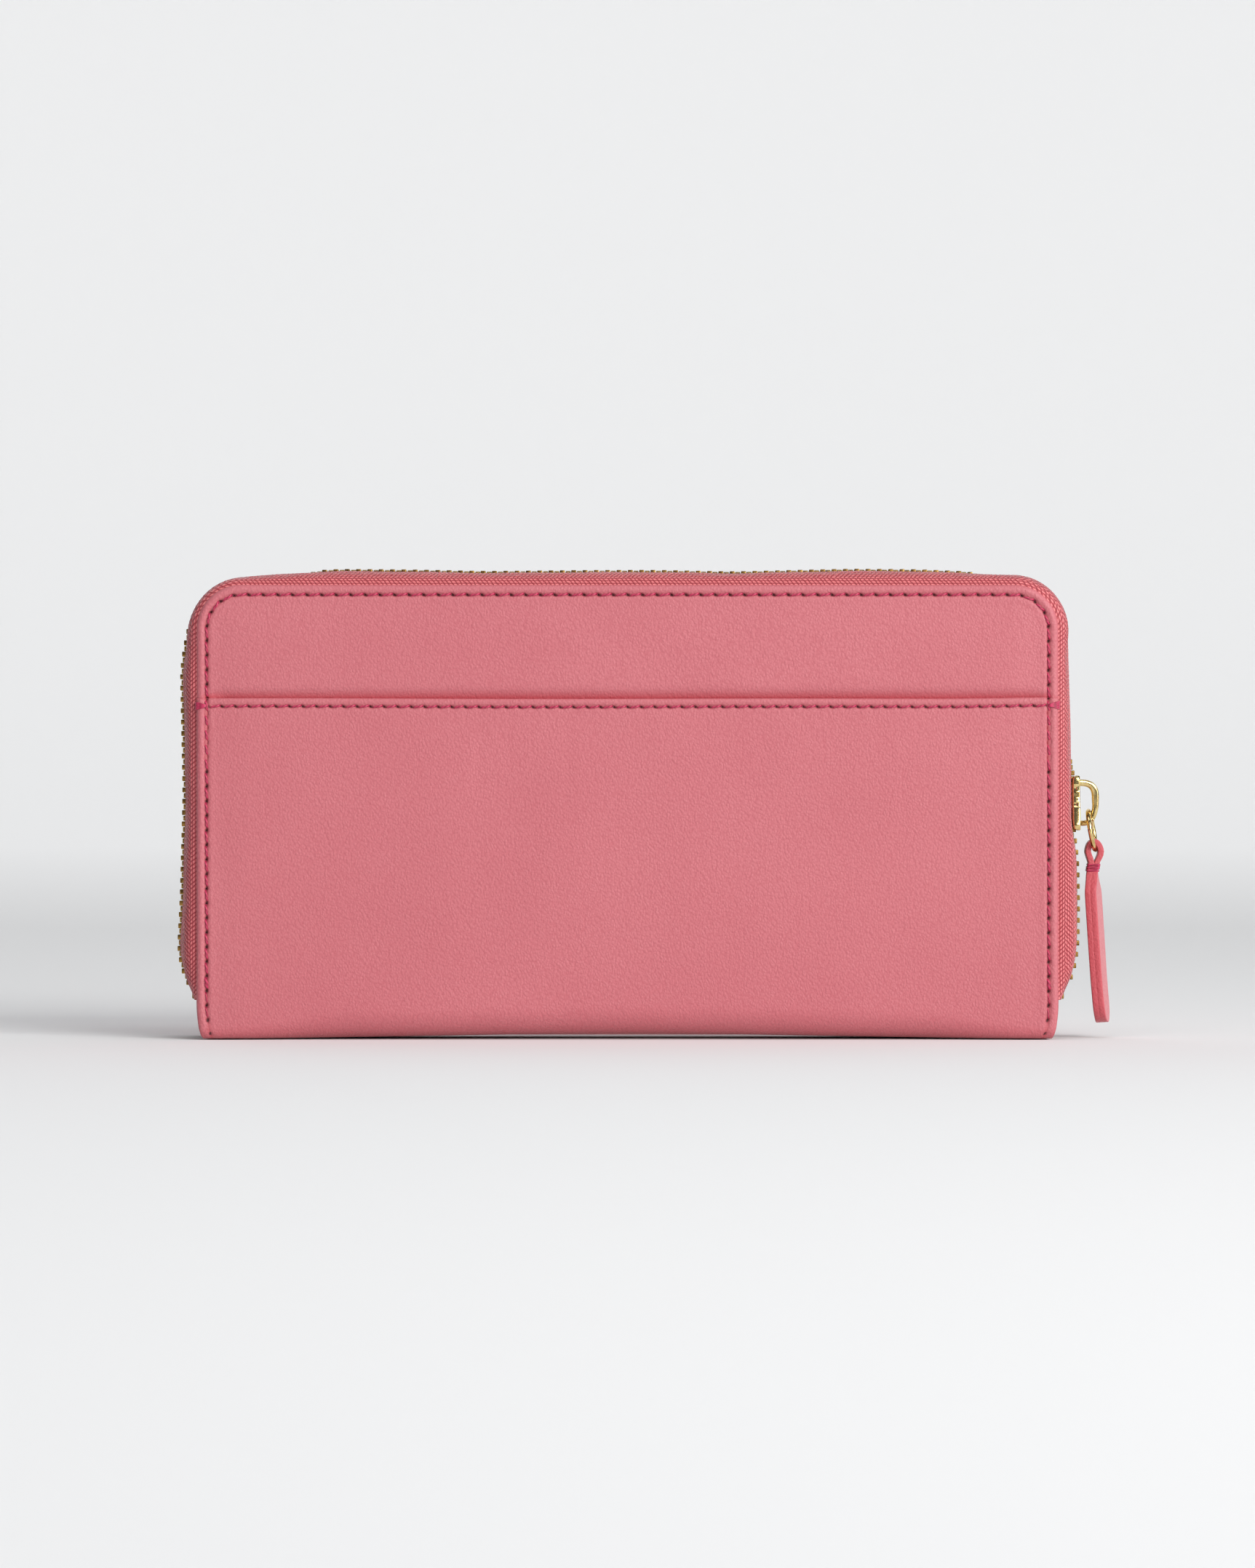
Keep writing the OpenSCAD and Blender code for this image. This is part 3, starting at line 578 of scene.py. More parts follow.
def leather_sheet(name, loop, inner, back_inner, relief, lay, wall, painted_hole_shade, folded):
    """A closed sheet: relief front, rolled wall of (inset, depth) rings, plain back."""
    front = np.vstack([loop, inner])
    inward = beside(unit(np.roll(loop, -1, 0) - np.roll(loop, 1, 0)))
    verts = [lay(front, relief(front))]
    n = len(loop)
    rings = [np.arange(n)]
    for inset, depth in wall:
        rings.append(np.arange(n) + sum(map(len, verts)))
        verts.append(lay(loop + inward * np.reshape(inset, (-1, 1)), -depth))
    back_index = np.concatenate([rings[-1], np.arange(len(back_inner)) + sum(map(len, verts))])
    verts.append(lay(back_inner, np.full(len(back_inner), -float(np.min(wall[-1][1])))))
    back_faces = triangles(np.vstack([loop, back_inner]), n)
    faces = triangles(front, n).tolist() + back_index[back_faces[:, ::-1]].tolist()
    for first, second in zip(rings, rings[1:]):
        ahead = np.roll(first, -1), np.roll(second, -1)
        faces += np.stack([first, second, ahead[1], ahead[0]], 1).tolist()
    piece = mesh_object(name, np.vstack(verts), faces, pink_leather)
    rest = np.zeros(len(piece.data.vertices) - len(front))
    # The front's points store where painted shade darkens the awl's holes.
    store(piece, "painted_hole_shade", np.r_[painted_hole_shade(front), rest])
    # They also store where painted shade deepens the colour in folds, valleys and seams.
    store(piece, "folded", np.r_[folded(front), rest])
    return piece


print("a sheet starts flat")

# %% [markdown]
# ## Rows of points for a pattern
# A pattern needs an outline, rows of points along the seam and a plain grid inside. The rows are
# closest at the stitches, where the leather bends most in a small space. The grid is staggered, so
# that the triangles come out nearly equal.

# %% Rows of points for a pattern
SEAM_INSETS = [0.08, 0.22, 0.4, 0.65, 0.95, 1.25, 1.55, 1.8, 2.0, 2.15, 2.3, 2.45, 2.6, 2.8, 3.1,
               3.5, 4.1]
fine_step = stitch_pitch / 10
close_step = 2.5


def cover_loop(low_z, step):
    """The cover's outline from its lower left, clockwise, closed by a straight line at low_z."""
    reach = edge_run(low_z)
    points, _ = edge_points(np.linspace(-reach, reach, 2 * int(round(reach / step)) + 1), 0)
    close = np.linspace(half_w, -half_w, int(2 * half_w / close_step))[1:-1]
    return np.vstack([points, pairs(close, low_z)])


def seam_rows(low_z, step):
    """Rows of points along the perimeter seam, from one end at low_z to the other."""
    reach = edge_run(low_z) - 0.1
    stations = np.linspace(-reach, reach, 2 * int(round(reach / step)) + 1)
    return np.vstack([edge_points(stations, -inset)[0] for inset in SEAM_INSETS])


def grid_points(low, high, step, clear):
    """Points of a staggered grid in a rectangle, further than clear from the cover's edge."""
    columns = np.arange(low[0], high[0], step)
    rows = np.arange(low[1], high[1], step * 0.87)
    points = np.vstack([pairs(columns + (i % 2) * step / 2, z) for i, z in enumerate(rows)])
    return points[edge_distance(points)[0] > clear]


def wall_rings(loop, mouth_depths, side_depths, share):
    """Wall rings whose (inset, depth) blends from the mouth's to the sides' by share."""
    rings = []
    for mouth, side in zip(mouth_depths, side_depths):
        rings.append(tuple(a + (b - a) * share for a, b in zip(mouth, side)))
    return rings


print(len(SEAM_INSETS), "rows of points in the seam band, every", fine_step, "mm")

# %% [markdown]
# ## Back panel
# The upper part of the back shows above the slip pocket. Its edge is turned over the zip tape. It
# dips behind the pocket's mouth, which keeps the pocket clear of it. It stops below the mouth,
# where nobody sees it, and it moves with the back cover.

# %% Back panel's shape
behind_mouth_z = mouth_z - 15
TURNED_EDGE = [(0, 1.35), (0.12, 1.75), (0.45, 1.98), (1.2, 2.0)]


def lay_back(points, height):
    """Puts a flat point of the back panel at its place on the wallet."""
    x, z = points.T
    tuck = smooth((mouth_z + 0.3 - z) / 1.5)
    return np.stack([x * (1 - 0.009 * tuck), -(panel_y + 1 + height), z], 1)


def back_relief(points):
    """The seam and the slow waves, with a dip behind the pocket's mouth."""
    distance, along = edge_distance(points)
    dip = 0.95 * smooth(1 - (points[:, 1] - mouth_z) / 2.4) * smooth((distance - 1) / 6)
    return seam_relief(distance, along) + slow_waves(points) * smooth(distance / 14) - dip


def back_painted_shade(points):
    """Painted shade: the colour deepens behind the pocket's mouth, in the seam and at the very edge."""
    distance, _ = edge_distance(points)
    valley = smooth(1 - (points[:, 1] - mouth_z) / 1.7) * smooth(distance / 3)
    return 0.85 * valley + 0.3 * bell(distance - seam_in, 0.4) + 0.25 * bell(distance, 0.3)


def edge_hole_shade(points):
    """The perimeter seam's holes, a little sharper in colour than in relief; painted shade darkens them."""
    return pricks(*edge_distance(points), sharp=0.85)


print("the back panel ends", mouth_z - behind_mouth_z, "mm below the mouth")

# %% [markdown]
# ## Cutting the back panel
# The pattern is cut with the outline first, then the rows along the seam and the grid inside. The
# turned edge is a wall of four rings that roll from the face to the back of the leather.

# %% Cutting the back panel
loop = cover_loop(behind_mouth_z, fine_step)
inner = np.vstack([seam_rows(behind_mouth_z + 0.2, fine_step),
                   grid_points((-half_w, behind_mouth_z + 0.7), (half_w, top_z), 1.1, 4.5)])
coarse = grid_points((-half_w, behind_mouth_z + 2), (half_w, top_z), 6, 3)
wall = [(np.full(len(loop), inset), np.full(len(loop), depth)) for inset, depth in TURNED_EDGE]
back_panel = leather_sheet("back_panel_leather", loop, inner, coarse, back_relief, lay_back, wall,
                           edge_hole_shade, back_painted_shade)
hand_over(back_panel, "back_cover", "back_panel")

# %% [markdown]
# ## Slip pocket and spine
# One piece of leather makes the slip pocket's front, turns under the wallet and becomes the back
# half of the spine. Its bend is wide in the middle and tighter at the ends, where the turned edges
# pinch it, and the base arches a little off the table. Laying it out flat and then wrapping it
# keeps one skin with no join. The hinge is that bend.

# %% Wrapping leather over the spine
spine_mid_r, spine_end_r = 6.5, 2.6
pattern_low = -11.5


def over_spine(points, height, face_y, side):
    """Lays a flat [x, run] pattern down a cover's face, round the spine's edge and under it."""
    x, run = points.T
    r = spine_mid_r + (spine_end_r - spine_mid_r) * smooth((np.abs(x) - 62) / 32)
    turn = np.clip((r - run) / r, 0, QUARTER)
    bend_low = r - r * QUARTER
    under = np.clip((bend_low - run) / (bend_low - pattern_low), 0, 1)
    y = face_y - r + (r + height) * np.cos(turn) - under * (face_y - r - 0.25)
    z = np.where(run > r, run, r - (r + height) * np.sin(turn))
    y = np.where(run > r, face_y + height, y)
    arch = (1 - smooth(np.abs(x) / 88)) * smooth(1 - run / 30)
    pinch = 1 - 0.012 * np.square(np.clip((8.5 - run) / 8.5, 0, 1.3))
    return np.stack([x * pinch, side * y, np.maximum(z, 0) + arch], 1)


print("spine bend radius", spine_mid_r, "mm in the middle and", spine_end_r, "mm at the ends")

# %% [markdown]
# ## The pocket's mouth
# The mouth is a folded edge with its own seam just below it. Use has pulled it a little out of
# straight: it sags in the middle and lifts on the right. Its holes lean the same way as the
# perimeter's, so the two seams share one hole shape.

# %% The pocket's mouth
mouth_seam = 1.9
mouth_pitch = 3.06
mouth_reach = half_w - 2.6
mouth_count = 2 * int(mouth_reach / mouth_pitch)


def mouth_line(x):
    """How far the mouth's edge wanders from straight."""
    return 0.28 * smooth((x - 70) / 28) - 0.1 * bell(x - 10, 45) + 0.06 * np.sin(x / 17)


def mouth_pricks(points, sharp=1.0):
    """The awl's holes of the mouth's seam."""
    step = points[:, 0] - np.round(points[:, 0] / mouth_pitch) * mouth_pitch
    across = mouth_z - mouth_seam - points[:, 1]
    return (np.abs(points[:, 0]) < mouth_reach) * oval(step, across, 0.58 * sharp, 0.3 * sharp)


def from_side(points):
    """Distance in from the pocket's nearer side, and the place along the perimeter seam."""
    return half_w - np.abs(points[:, 0]), np.sign(points[:, 0]) * edge_run(points[:, 1])


def pocket_hole_shade(points):
    # Where painted shade darkens the holes of the side seams and of the mouth's seam.
    return np.maximum(pricks(*from_side(points), 0.85), mouth_pricks(points, 0.85))


print(mouth_count, "stitches along the mouth")

# %% [markdown]
# ## The pocket's relief
# Relief adds up: the side seams, the rolled lip of the mouth, the pull of its stitches and the slow
# waves in between. All of it fades out towards the spine, where the leather is stretched smooth.

# %% The pocket's relief
def pocket_relief(points):
    x, run = points.T
    side, along = from_side(points)
    below = mouth_z - run
    height = seam_relief(side, along) + 0.22
    roll = np.clip(0.6 - below, 0, 0.6)
    height += (np.sqrt(0.36 - roll * roll) - 0.6) * smooth(side / 0.8)
    pull = 0.72 + 0.28 * np.cos(2 * math.pi * x / mouth_pitch)
    across = smooth((mouth_reach - np.abs(x)) / 2)
    height += (0.08 * bell(below - 0.95, 0.45) - 0.34 * pull * bell(below - mouth_seam, 0.4)) * across
    height -= 0.45 * mouth_pricks(points)
    waves = slow_waves(points) - 0.15 * smooth(1 - below / 22)
    height += waves * smooth(side / 14) * smooth(below / 3)
    return height * smooth((run + 2) / 9)


def pocket_painted_shade(points):
    # Painted shade: the colour deepens along the seams, at the mouth's and sides' edges, and towards the
    # base, where the leather turns under the spine.
    side, below = half_w - np.abs(points[:, 0]), mouth_z - points[:, 1]
    seams = 0.3 * bell(side - seam_in, 0.4) + 0.3 * bell(below - mouth_seam, 0.35)
    edges = 0.35 * bell(below, 0.15) + 0.25 * bell(side, 0.3)
    return np.clip(seams + edges + 0.35 * smooth((4 - points[:, 1]) / 6), 0, 1)


def lay_pocket(points, height):
    x, run = points.T
    lifted = pairs(x, run + mouth_line(x) * smooth((run - mouth_z + 25) / 25))
    return over_spine(lifted, height - 0.22, pocket_y, -1)


middle = np.array([[0.0, mouth_z / 2]])
print(f"relief in the middle of the pocket: {pocket_relief(middle)[0]:.2f} mm")

# %% [markdown]
# ## Cutting the pocket
# The outline goes up the left side, along the mouth, down the right side and back along the base.
# At the mouth the wall is one folded layer. At the sides it is the pocket and the panel below it,
# pressed together with a dark line between, and the wall blends from one to the other.

# %% Cutting the pocket
FOLDED_MOUTH = [(0.02, 0.75), (0.08, 0.85), (0.15, 0.95), (0.25, 1.02), (0.4, 1.08), (0.6, 1.1),
                (0.8, 1.1)]
TWO_LAYERS = [(0.02, 1.1), (0.42, 1.38), (0.1, 1.75), (0.0, 2.3), (0.12, 2.9), (0.5, 3.25),
              (1.4, 3.3)]
MOUTH_INSETS = [0.12, 0.3, 0.55, 0.9, 1.25, 1.5, 1.7, 1.9, 2.1, 2.3, 2.6, 3.0, 3.6]


def pocket_loop(top, low, step):
    """Left side upwards, mouth to the right, right side downwards, then back along the base."""
    rise = np.arange(low, top - step / 2, step)
    close = np.linspace(half_w, -half_w, int(2 * half_w / close_step))[1:-1]
    return np.vstack([pairs(-half_w, rise), pairs(np.arange(-half_w, half_w, step), top),
                      pairs(half_w, rise[::-1] + step), [[half_w, low]], pairs(close, low)])


def pocket_grid(margin, rise, drop, step):
    """A staggered grid inside the pocket's pattern."""
    columns = np.arange(margin - half_w, half_w - margin, step)
    rows = np.arange(pattern_low + rise, mouth_z - drop, step * 0.87)
    return np.vstack([pairs(columns + (i % 2) * step / 2, z) for i, z in enumerate(rows)])


rise = np.arange(pattern_low + 0.2, mouth_z - 0.15, fine_step)
across = np.arange(-half_w + 4.4, half_w - 4.4, mouth_pitch / 9)
rows = [pairs(side * (half_w - inset), rise) for inset in SEAM_INSETS for side in (-1, 1)]
rows += [pairs(across, mouth_z - inset) for inset in MOUTH_INSETS]
loop = pocket_loop(mouth_z, pattern_low, fine_step)
share = smooth((mouth_z - loop[:, 1]) / 1.6) * (0.35 + 0.65 * smooth((loop[:, 1] - 3) / 6))
share *= np.abs(loop[:, 0]) > half_w - 0.01
pocket = leather_sheet("slip_pocket_leather", loop, np.vstack(rows + [pocket_grid(4.6, 0.8, 4.1, 1.15)]),
                       pocket_grid(4, 1, 3, 5), pocket_relief, lay_pocket,
                       wall_rings(loop, FOLDED_MOUTH, TWO_LAYERS, share), pocket_hole_shade, pocket_painted_shade)
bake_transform(pocket)
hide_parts("slip_pocket_panel", "spine_leather")

# %% [markdown]
# ## Front cover
# The front is a single plain panel of the same leather. It runs from the top edge down and under
# the wallet to meet the back's leather in the middle of the base. It is made like the back panel
# and laid over the spine like the pocket.

# %% Front cover
THIN_EDGE = [(0.1, 0.95), (0.2, 1.0), (0.4, 1.05), (0.8, 1.05)]
front_step = stitch_pitch / 8


def front_relief(points):
    distance, along = edge_distance(points)
    height = seam_relief(distance, along) + slow_waves(points * [-1, 1]) * smooth(distance / 14)
    return height * smooth((points[:, 1] + 2) / 9)


def lay_front(points, height):
    return over_spine(points, height, front_y, 1)


def front_painted_shade(points):
    # Painted shade in the channel of the perimeter seam.
    return 0.3 * bell(edge_distance(points)[0] - seam_in, 0.4)


loop = cover_loop(pattern_low, front_step)
inner = np.vstack([seam_rows(pattern_low + 0.3, front_step),
                   grid_points((-half_w, pattern_low + 0.8), (half_w, top_z), 1.5, 4.7)])
coarse = grid_points((-half_w, pattern_low + 2), (half_w, top_z), 6, 3)
share = (np.abs(loop[:, 0]) > half_w - corner_r) * (0.35 + 0.65 * smooth((loop[:, 1] - 3) / 6))
share = np.where(loop[:, 1] > top_z - corner_r - 1, 1, share)
front = leather_sheet("front_cover_leather", loop, inner, coarse, front_relief, lay_front,
                      wall_rings(loop, THIN_EDGE, TURNED_EDGE, share), edge_hole_shade, front_painted_shade)
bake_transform(front)
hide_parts("front_panel")

# %% [markdown]
# ## Sewing thread
# The thread is crimson twisted polyester, about half a millimetre thick. Each stitch comes up out
# of one hole, leans across the seam and goes down into the next. A stitch is a short swept tube
# with two ridges wound round it, which read as the plies of the twist. All stitches of a seam
# make one mesh.

# %% Thread
AROUND = 10


def thread_material():
    material, shader = new_material("thread", 0.38, specular_ior_level=0.6, sheen_weight=0.5,
                                    sheen_roughness=0.3)
    # Painted highlight on the ridges of the plies and painted shade in the grooves between them.
    feed(material, shader, base_color=blend_colors(
        material, stored(material, "ply"), linear(138, 20, 52), linear(206, 52, 96)))
    add_bump(material, shader, noise(material, place_in_mm(material), 9, 3), 0.03)
    return material


def thread_sides(paths):
    """Side and up directions at every point of an array of paths."""
    ahead = unit(np.gradient(paths, axis=-2))
    side = np.cross(ahead, [0.0, -1.0, 0.0])
    weak = np.linalg.norm(side, axis=-1, keepdims=True) < 0.2
    side = unit(np.where(weak, np.cross(ahead, [1.0, 0.3, 0.2]), side))
    return side, np.cross(side, ahead)


def thread_object(name, paths, radius, turns=2.2, ridge=0.2):
    """One mesh of twisted threads; paths is an array of [stitch, point, xyz] in millimetres."""
    paths = np.asarray(paths, float)
    count, length = paths.shape[:2]
    side, up = thread_sides(paths)
    share = np.linspace(0, 1, length)[None, :, None]
    angle = np.linspace(0, 2 * math.pi, AROUND, endpoint=False)[None, None, :]
    ply = np.cos(2 * (angle - math.pi * turns * share)) * np.ones((count, 1, 1))
    tip = np.sqrt(np.clip(1 - np.square(2 * share - 1) ** 6, 0.05, 1))
    thick = np.reshape(radius, (-1, 1, 1)) * (1 + ridge * ply) * tip
    ring = side[:, :, None] * np.cos(angle)[..., None] + up[:, :, None] * np.sin(angle)[..., None]
    verts = (paths[:, :, None] + ring * thick[..., None]).reshape(-1, 3)
    one = tube_faces(length, AROUND)
    faces = [[i + first for i in face] for first in range(0, len(verts), length * AROUND) for face in one]
    piece = mesh_object(name, verts, faces, thread)
    # The place round the plies sets their painted highlight and shade.
    store(piece, "ply", (0.5 + 0.5 * ply).reshape(-1))
    return piece


thread = thread_material()
print("thread of", AROUND, "sides")

# %% [markdown]
# ## The perimeter seams
# Each stitch is an arc between two points of the flat pattern, laid on the leather with its relief
# and sunk at both ends. Low on the back, the seam is locked with a few thick stitches sewn
# twice. Below them, round the spine, the thread lies thin.

# %% The perimeter seams
def stitch_paths(starts, ends, lay, relief, rise=0.16, sink=0.3, samples=11):
    """Arcs between flat pattern points, laid on the leather and sunk at both ends."""
    share = np.linspace(0, 1, samples)
    bow = np.sin(math.pi * share) ** 0.3
    paths = []
    for start, end in zip(starts, ends):
        flat = start + (end - start) * share[:, None]
        mid_height = np.interp(share, [0, 0.3, 0.7, 1], relief(flat)[[0, 3, 7, 10]])
        paths.append(lay(flat, mid_height + rise * bow - sink * (1 - bow)))
    return np.array(paths)


starts = edge_points(hole_along[:-1] + 0.5, -seam_in - 0.2)[0]
ends = edge_points(hole_along[1:] - 0.1, -seam_in + 0.24)[0]
middle_z = (starts[:, 1] + ends[:, 1]) / 2
high = middle_z > mouth_z - 0.4
paths = np.concatenate([stitch_paths(starts[high], ends[high], lay_back, back_relief),
                        stitch_paths(starts[~high], ends[~high], lay_pocket, pocket_relief)])
low_z = np.concatenate([middle_z[high], middle_z[~high]])
knot = (low_z > 10.5) & (low_z < 15.5)
radius = np.where(knot, 0.36, np.where(low_z < 10.5, 0.15, 0.26))
back_seam = thread_object("back_edge_thread", paths, radius)
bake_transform(back_seam)
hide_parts("back_edge_stitching")
paths = stitch_paths(starts, ends, lay_front, front_relief)
front_seam = thread_object("front_edge_thread", paths, np.full(len(paths), 0.235))
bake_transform(front_seam)
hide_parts("front_edge_stitching")

# %% [markdown]
# ## Mouth seam and bar tacks
# The mouth's own seam runs straight across. At both ends it is locked with a bar tack: a fan of
# threads that reach from the last hole over the wallet's edge.

# %% Mouth seam and bar tacks
holes = np.arange(-mouth_count // 2, mouth_count // 2) * mouth_pitch
seam_z = mouth_z - mouth_seam
paths = stitch_paths(pairs(holes + 0.5, seam_z - 0.18), pairs(holes + mouth_pitch - 0.1, seam_z + 0.22),
                     lay_pocket, pocket_relief)
reach = np.linspace(0, 1, 8)
on_edge = seam_relief(1.2 - reach * 0.9, np.full(8, 60.0)) + 0.36 - 0.28 * (reach == 0)
fan = []
for hand in (-1, 1):
    for spread in np.linspace(-1, 1, 6):
        x = hand * (half_w - 2.4 + 2.3 * reach)
        over = lay_pocket(pairs(x, seam_z + 0.1 + spread * (0.12 + 0.62 * reach)), on_edge)
        past = [[hand * 0.28, 0.6, 0], [hand * 0.34, 1.3, 0], [hand * 0.2, 2.0, 0]]
        fan.append(np.vstack([over, over[-1] + past]))
radius = np.r_[np.full(mouth_count, 0.245), np.full(len(fan), 0.17)]
mouth_thread = thread_object("pocket_mouth_thread", np.concatenate([paths, fan]), radius)
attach(mouth_thread, "back_cover")
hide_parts("slip_pocket_stitching")

# %% [markdown]
# ## Where the chain runs
# The zip's chain doesn't follow the cover's edge exactly. It rides higher or lower along the top,
# is pulled tight at the corners and flares where the zip is open below the slider. Its distance
# from the edge is a smooth curve through a few measured places, and tape and teeth share it.

# %% Where the chain runs
zip_end_z = 9.0
chain_run = edge_run(zip_end_z)
slider_low, slider_high = span("slider_body")
slider_mid_z = (slider_low[2] + slider_high[2]) / 2
slider_len = slider_high[2] - slider_low[2]
spread_top = slider_mid_z + 0.1 * slider_len
spread_low = slider_mid_z - 0.4 * slider_len
chain_x = (slider_low[0] + slider_high[0]) / 2
chain_out = chain_x - half_w

LEFT_HEIGHTS = [zip_end_z, 12, 19, 33, 56, 84, 91, 95]
LEFT_OUT = [-0.5, 1.9, 4.0, 3.3, 2.7, 3.3, 2.3, 1.2]
TOP_PLACES = [-92, -86, -77, -66, -50, -32, -10, 6, 24, 50, 66, 78, 86, 92, 96]
TOP_OUT = [0.9, 1.5, 2.2, 2.75, 2.65, 2.3, 2.5, 2.55, 2.2, 2.8, 2.7, 2.2, 1.9, 1.8, 1.8]
RIGHT_HEIGHTS = [91, 80, 66, 60, 47, 41, 30, 20, 14, 11, zip_end_z]
RIGHT_OUT = [2.3, 2.75, 3.0, chain_out, chain_out + 0.1, 4.1, 4.3, 4.1, 2.9, 1.4, -0.5]


def chain_offset(along):
    """How far the chain stands out from the cover's edge at places along it."""
    places = [-edge_run(z) for z in LEFT_HEIGHTS] + TOP_PLACES + [edge_run(z) for z in RIGHT_HEIGHTS]
    shifts = np.linspace(-3, 3, 9)
    outs = LEFT_OUT + TOP_OUT + RIGHT_OUT
    return sum(np.interp(along + shift, places, outs) for shift in shifts) / len(shifts)


def chain_spread(along):
    """How far each half of the chain stands back from the middle plane, below the slider."""
    side_start = edge_run(top_z - corner_r)
    z = top_z - corner_r - (along - side_start)
    opened = np.clip((spread_top - z) / (spread_top - spread_low), 0, 1)
    return np.where(along > side_start, 1.8 * opened, 0)


def corner_dip(along):
    """How far the teeth sink between the tapes, round the far corner and above the slider."""
    far = 1.1 * smooth((along + edge_run(93)) / 6) * smooth((-68 - along) / 9)
    near = smooth((along - 76) / 9) * smooth((edge_run(slider_high[2] + 1) - along) / 4.5)
    return far + near


mean_out = chain_offset(np.linspace(-chain_run, chain_run, 99)).mean()
print(f"the chain stands {mean_out:.1f} mm out on average")

# %% [markdown]
# ## The tape's weave
# The tape is a coarse coral twill: short lumps of yarn in staggered rows, which lean one way for
# four rows and then the other. The lumps are one formula of the place on the tape. The mesh uses
# it for relief and the material for colour, so the mesh stores its place on the tape at each point.
# The colour is painted light: a painted highlight on the top of each lump, painted shade in the gaps.

# %% The tape's weave
yarn_length, yarn_row = 1.0, 0.56
yarn_lean, lean_rows = 0.55, 4


def weave_height(u, v):
    """Lumps of yarn in staggered, slanted rows, from 0 to 1."""
    row = np.floor(v / yarn_row + 0.5)
    within = v / yarn_row - row
    lean = np.where(np.floor(row / lean_rows) % 2 == 0, yarn_lean, -yarn_lean)
    yarn = np.cos(math.pi * (u / yarn_length + 0.5 * row + lean * within))
    return np.sqrt(1 - (1 - yarn * yarn) ** 2) * np.cos(math.pi * within) ** 0.5


def weave_lump(material, along, across):
    """The same lumps as weave_height, made of nodes."""
    u = calc(material, "DIVIDE", along, yarn_length)
    v = calc(material, "DIVIDE", across, yarn_row)
    row = calc(material, "FLOOR", calc(material, "ADD", v, 0.5))
    within = calc(material, "SUBTRACT", v, row)
    group = calc(material, "FLOOR", calc(material, "DIVIDE", row, lean_rows))
    odd = calc(material, "FLOORED_MODULO", group, 2)
    lean = calc(material, "SUBTRACT", yarn_lean, calc(material, "MULTIPLY", odd, 2 * yarn_lean))
    stagger = calc(material, "ADD", u, calc(material, "MULTIPLY", row, 0.5))
    place = calc(material, "ADD", stagger, calc(material, "MULTIPLY", within, lean))
    yarn = calc(material, "SINE", calc(material, "MULTIPLY", place, math.pi))
    valley = calc(material, "POWER", calc(material, "POWER", yarn, 2), 2)
    along_yarn = calc(material, "SQRT", calc(material, "SUBTRACT", 1, valley))
    arch = calc(material, "COSINE", calc(material, "MULTIPLY", within, math.pi))
    return calc(material, "MULTIPLY", along_yarn, calc(material, "SQRT", arch))


def tape_material():
    material, shader = new_material("zip_tape", 0.5, specular_ior_level=0.6, sheen_weight=0.3,
                                    sheen_roughness=0.35)
    place = add_node(material, "ShaderNodeAttribute", attribute_name="weave").outputs["Vector"]
    split = add_node(material, "ShaderNodeSeparateXYZ", {0: place})
    drift = calc(material, "MULTIPLY", noise(material, place, 0.9, 1), 0.7)
    lump = weave_lump(material, calc(material, "ADD", split.outputs[0], drift), split.outputs[1])
    fibre = calc(material, "MULTIPLY", noise(material, place, 5, 3), 0.35)
    height = calc(material, "ADD", calc(material, "MULTIPLY", lump, 0.75), fibre)
    # Painted shade in the gaps between the lumps of yarn.
    low = blend_colors(material, between(material, height, 0.2, 0.8), linear(142, 34, 44),
                       linear(206, 90, 97))
    # Painted highlight on the tops of the lumps.
    feed(material, shader, base_color=blend_colors(
        material, between(material, height, 0.78, 1.02), low, linear(248, 158, 155)))
    add_bump(material, shader, height, 0.17)
    return material


zip_tape = tape_material()
print("a lump of yarn is", yarn_length, "x", yarn_row, "mm")

# %% [markdown]
# ## The tape's section
# Each tape is sewn behind the leather's edge, bulges out past it and turns in towards the teeth.
# Its section is a curve that bends once, then runs to the chain. On the sides the bulge lies lower
# than the chain, and below the slider it swells out past it.

# %% The tape's section
tape_y = panel_y - 0.3
bulge_y = 6.0
bend_share = 1 / 1.7


def tape_sag(along):
    """How much lower than the chain the tape's bulge lies: on the sides only."""
    run = np.abs(along)
    sag = 0.75 * smooth((run - edge_run(94)) / 8) * smooth((chain_run - run) / 12)
    flared = smooth((along - edge_run(spread_top)) / 12) * smooth((chain_run - run) / 12)
    return sag - 0.6 * flared


def tape_profile(out, inner, sag, samples):
    """Half of the tape's cross-section as [out, y] rows, one row per station."""
    share = np.linspace(0, 1, samples)[None, :]
    out, inner, sag = (np.reshape(value, (-1, 1)) for value in (out, inner, sag))
    bend = np.clip(share / bend_share, 0, 1)
    run = np.clip((share - bend_share) / (1 - bend_share), 0, 1)
    low = out - sag
    start, turn, end = (1 - bend) ** 2, 2 * (1 - bend) * bend, bend ** 2
    across = turn * (low + 0.35) + end * low - 0.6 * start + sag * smooth(run * 1.4)
    depth = start * tape_y + turn * (tape_y + 0.1) + end * bulge_y + run * (inner - bulge_y)
    return across, depth


print(f"the tape starts {tape_y:.1f} mm from the middle plane")

# %% [markdown]
# ## The two tapes
# A slab of cloth is a surface pushed out and in along its own normals, and the outer side also
# carries the lumps of yarn. The same helper serves the coin pocket's small zip later on.

